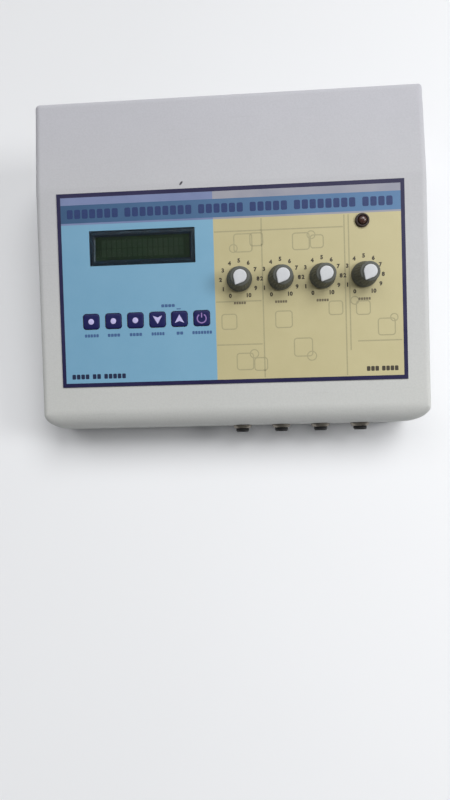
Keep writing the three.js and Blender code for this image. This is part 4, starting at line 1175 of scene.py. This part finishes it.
piece("rocker_paddle", rk, [M["black_gloss"]], "mains_rocker", ["rocker_button"], rocker_place, sharp=40)
marks = Blank()
marks.add(ribbon([(0, 3.6), (0, 6.6)], 0.8, 2.2, 2.95))
marks.add(ribbon(circle(0, -5.1, 1.5, 24), 0.6, 2.2, 2.95, True))


def mark_place(v):
    v = np.array(v, float)
    top = v[:, 2] > 2.5
    face = np.interp(np.abs(v[:, 1]), [0, 2, 4, 6.6, 8], [2.0, 2.12, 2.42, 2.95, 3.4])
    v[:, 2] = face + np.where(top, 0.04, -0.05)
    return rocker_place(v)


piece("rocker_marks", marks, [M["mark_white"]], "mains_rocker", (), mark_place, weld=0)

holder = lathe([(0, -34), (4, -34), (6, -32), (6, 0.3), (7.4, 0.3), (7.6, 0.5), (7.6, 1.5), (7.4, 2.0), (7.0, 2.35), (6.7, 2.4), (5.2, 2.4), (5.0, 2.2), (5.0, -30), (0, -30)], 48)
holder.add(soft_box(-2, 2, -0.4, 0.4, -42, -33.9, 0.1), None, 1)
piece("fuse_body", holder, [M["black"], M["brass"]], "console", ["fuse_holder"], rearward(FUSE_X, PY, MAINS_Z))


def cap_grip(r, z_, a):
    return r - (0.22 * (0.5 - 0.5 * math.cos(24 * a)) if 3.2 < z_ < 6.4 and r > 5.5 else 0)


carrier = carve(lathe([(0, -26), (2.6, -26), (2.6, -8), (4.5, -8), (4.5, 2.7), (5.7, 2.7), (5.9, 2.9), (5.9, 3.3), (5.9, 4.6), (5.9, 5.9), (5.85, 6.5), (5.65, 7.0), (5.2, 7.35), (4.9, 7.4), (0, 7.4)], 96, cap_grip),
                [("-", box(-4.2, 4.2, -0.6, 0.6, 6.0, 9))])
piece("fuse_carrier_cap", carrier, [M["black"]], "fuse_carrier", ["fuse_cap"], rearward(FUSE_X, PY, MAINS_Z), sharp=35)

# ---------------------------------------------------------------- CAD pieces that stay, with their finishes
KEEP = {"rear_panel": "rear_plate", "keypad_membrane": "membrane", "lcd_board": "lcd_board", "main_board": "board", "mains_transformer": "core"}
for n in (1, 2, 3, 4):
    KEEP[f"pot_shaft_{n}"] = "shaft"
    KEEP[f"pot_body_{n}"] = "pot"
    KEEP[f"pot_nut_{n}"] = "nut_steel"
for node, mat in KEEP.items():
    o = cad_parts[node]
    o.data.materials.clear()
    o.data.materials.append(M[mat].m)

# ---------------------------------------------------------------- floor, light
g = Graph("studio_floor", 0.85, 0.0, 0.2)
g.colour(g.ramp(g.noise(2.0, 3.0), [(0.3, lin(233, 234, 236)), (0.7, lin(236, 237, 239))]))
me = bpy.data.meshes.new("floor")
me.from_pydata([(12 * math.cos(a), 12 * math.sin(a), 0) for a in [2 * math.pi * i / 64 for i in range(64)]], [], [list(range(64))])
me.materials.append(g.m)
floor = bpy.data.objects.new("floor", me)
scene.collection.objects.link(floor)


def lamp(kind, name, loc, at, power, size):
    """A soft studio light: size is a disk's width in metres, or a distant light's width in degrees."""
    d = bpy.data.lights.new(name, kind)
    d.energy = power
    if kind == "SUN":
        d.angle = size * D2R
    else:
        d.shape = "DISK"
        d.size = size
    o = bpy.data.objects.new(name, d)
    o.location = loc
    o.rotation_euler = (Vector(at) - Vector(loc)).to_track_quat("-Z", "Y").to_euler()
    scene.collection.objects.link(o)
    return o


lamp("SUN", "key_light", (0.6, 0.95, 1.7), (0.0, 0.0, 0.05), 1.68, 34.0)
lamp("SUN", "fill_light", (-0.7, 0.9, 1.7), (0.0, 0.0, 0.05), 0.61, 34.0)
lamp("AREA", "side_light", (0.80, 0.0, 0.75), (0.08, -0.02, 0.05), 4.7, 0.4)

world = bpy.data.worlds.new("studio")
scene.world = world
world.use_nodes = True
wt = world.node_tree
wt.nodes.clear()
wo = wt.nodes.new("ShaderNodeOutputWorld")
wb = wt.nodes.new("ShaderNodeBackground")
wc = wt.nodes.new("ShaderNodeBackground")
wm = wt.nodes.new("ShaderNodeMixShader")
wl = wt.nodes.new("ShaderNodeLightPath")
wb.inputs["Color"].default_value = (0.97, 0.98, 1.0, 1.0)
wb.inputs["Strength"].default_value = 0.175
wc.inputs["Color"].default_value = lin(232, 234, 236)
wt.links.new(wl.outputs["Is Camera Ray"], wm.inputs[0])
wt.links.new(wb.outputs[0], wm.inputs[1])
wt.links.new(wc.outputs[0], wm.inputs[2])
wt.links.new(wm.outputs[0], wo.inputs["Surface"])
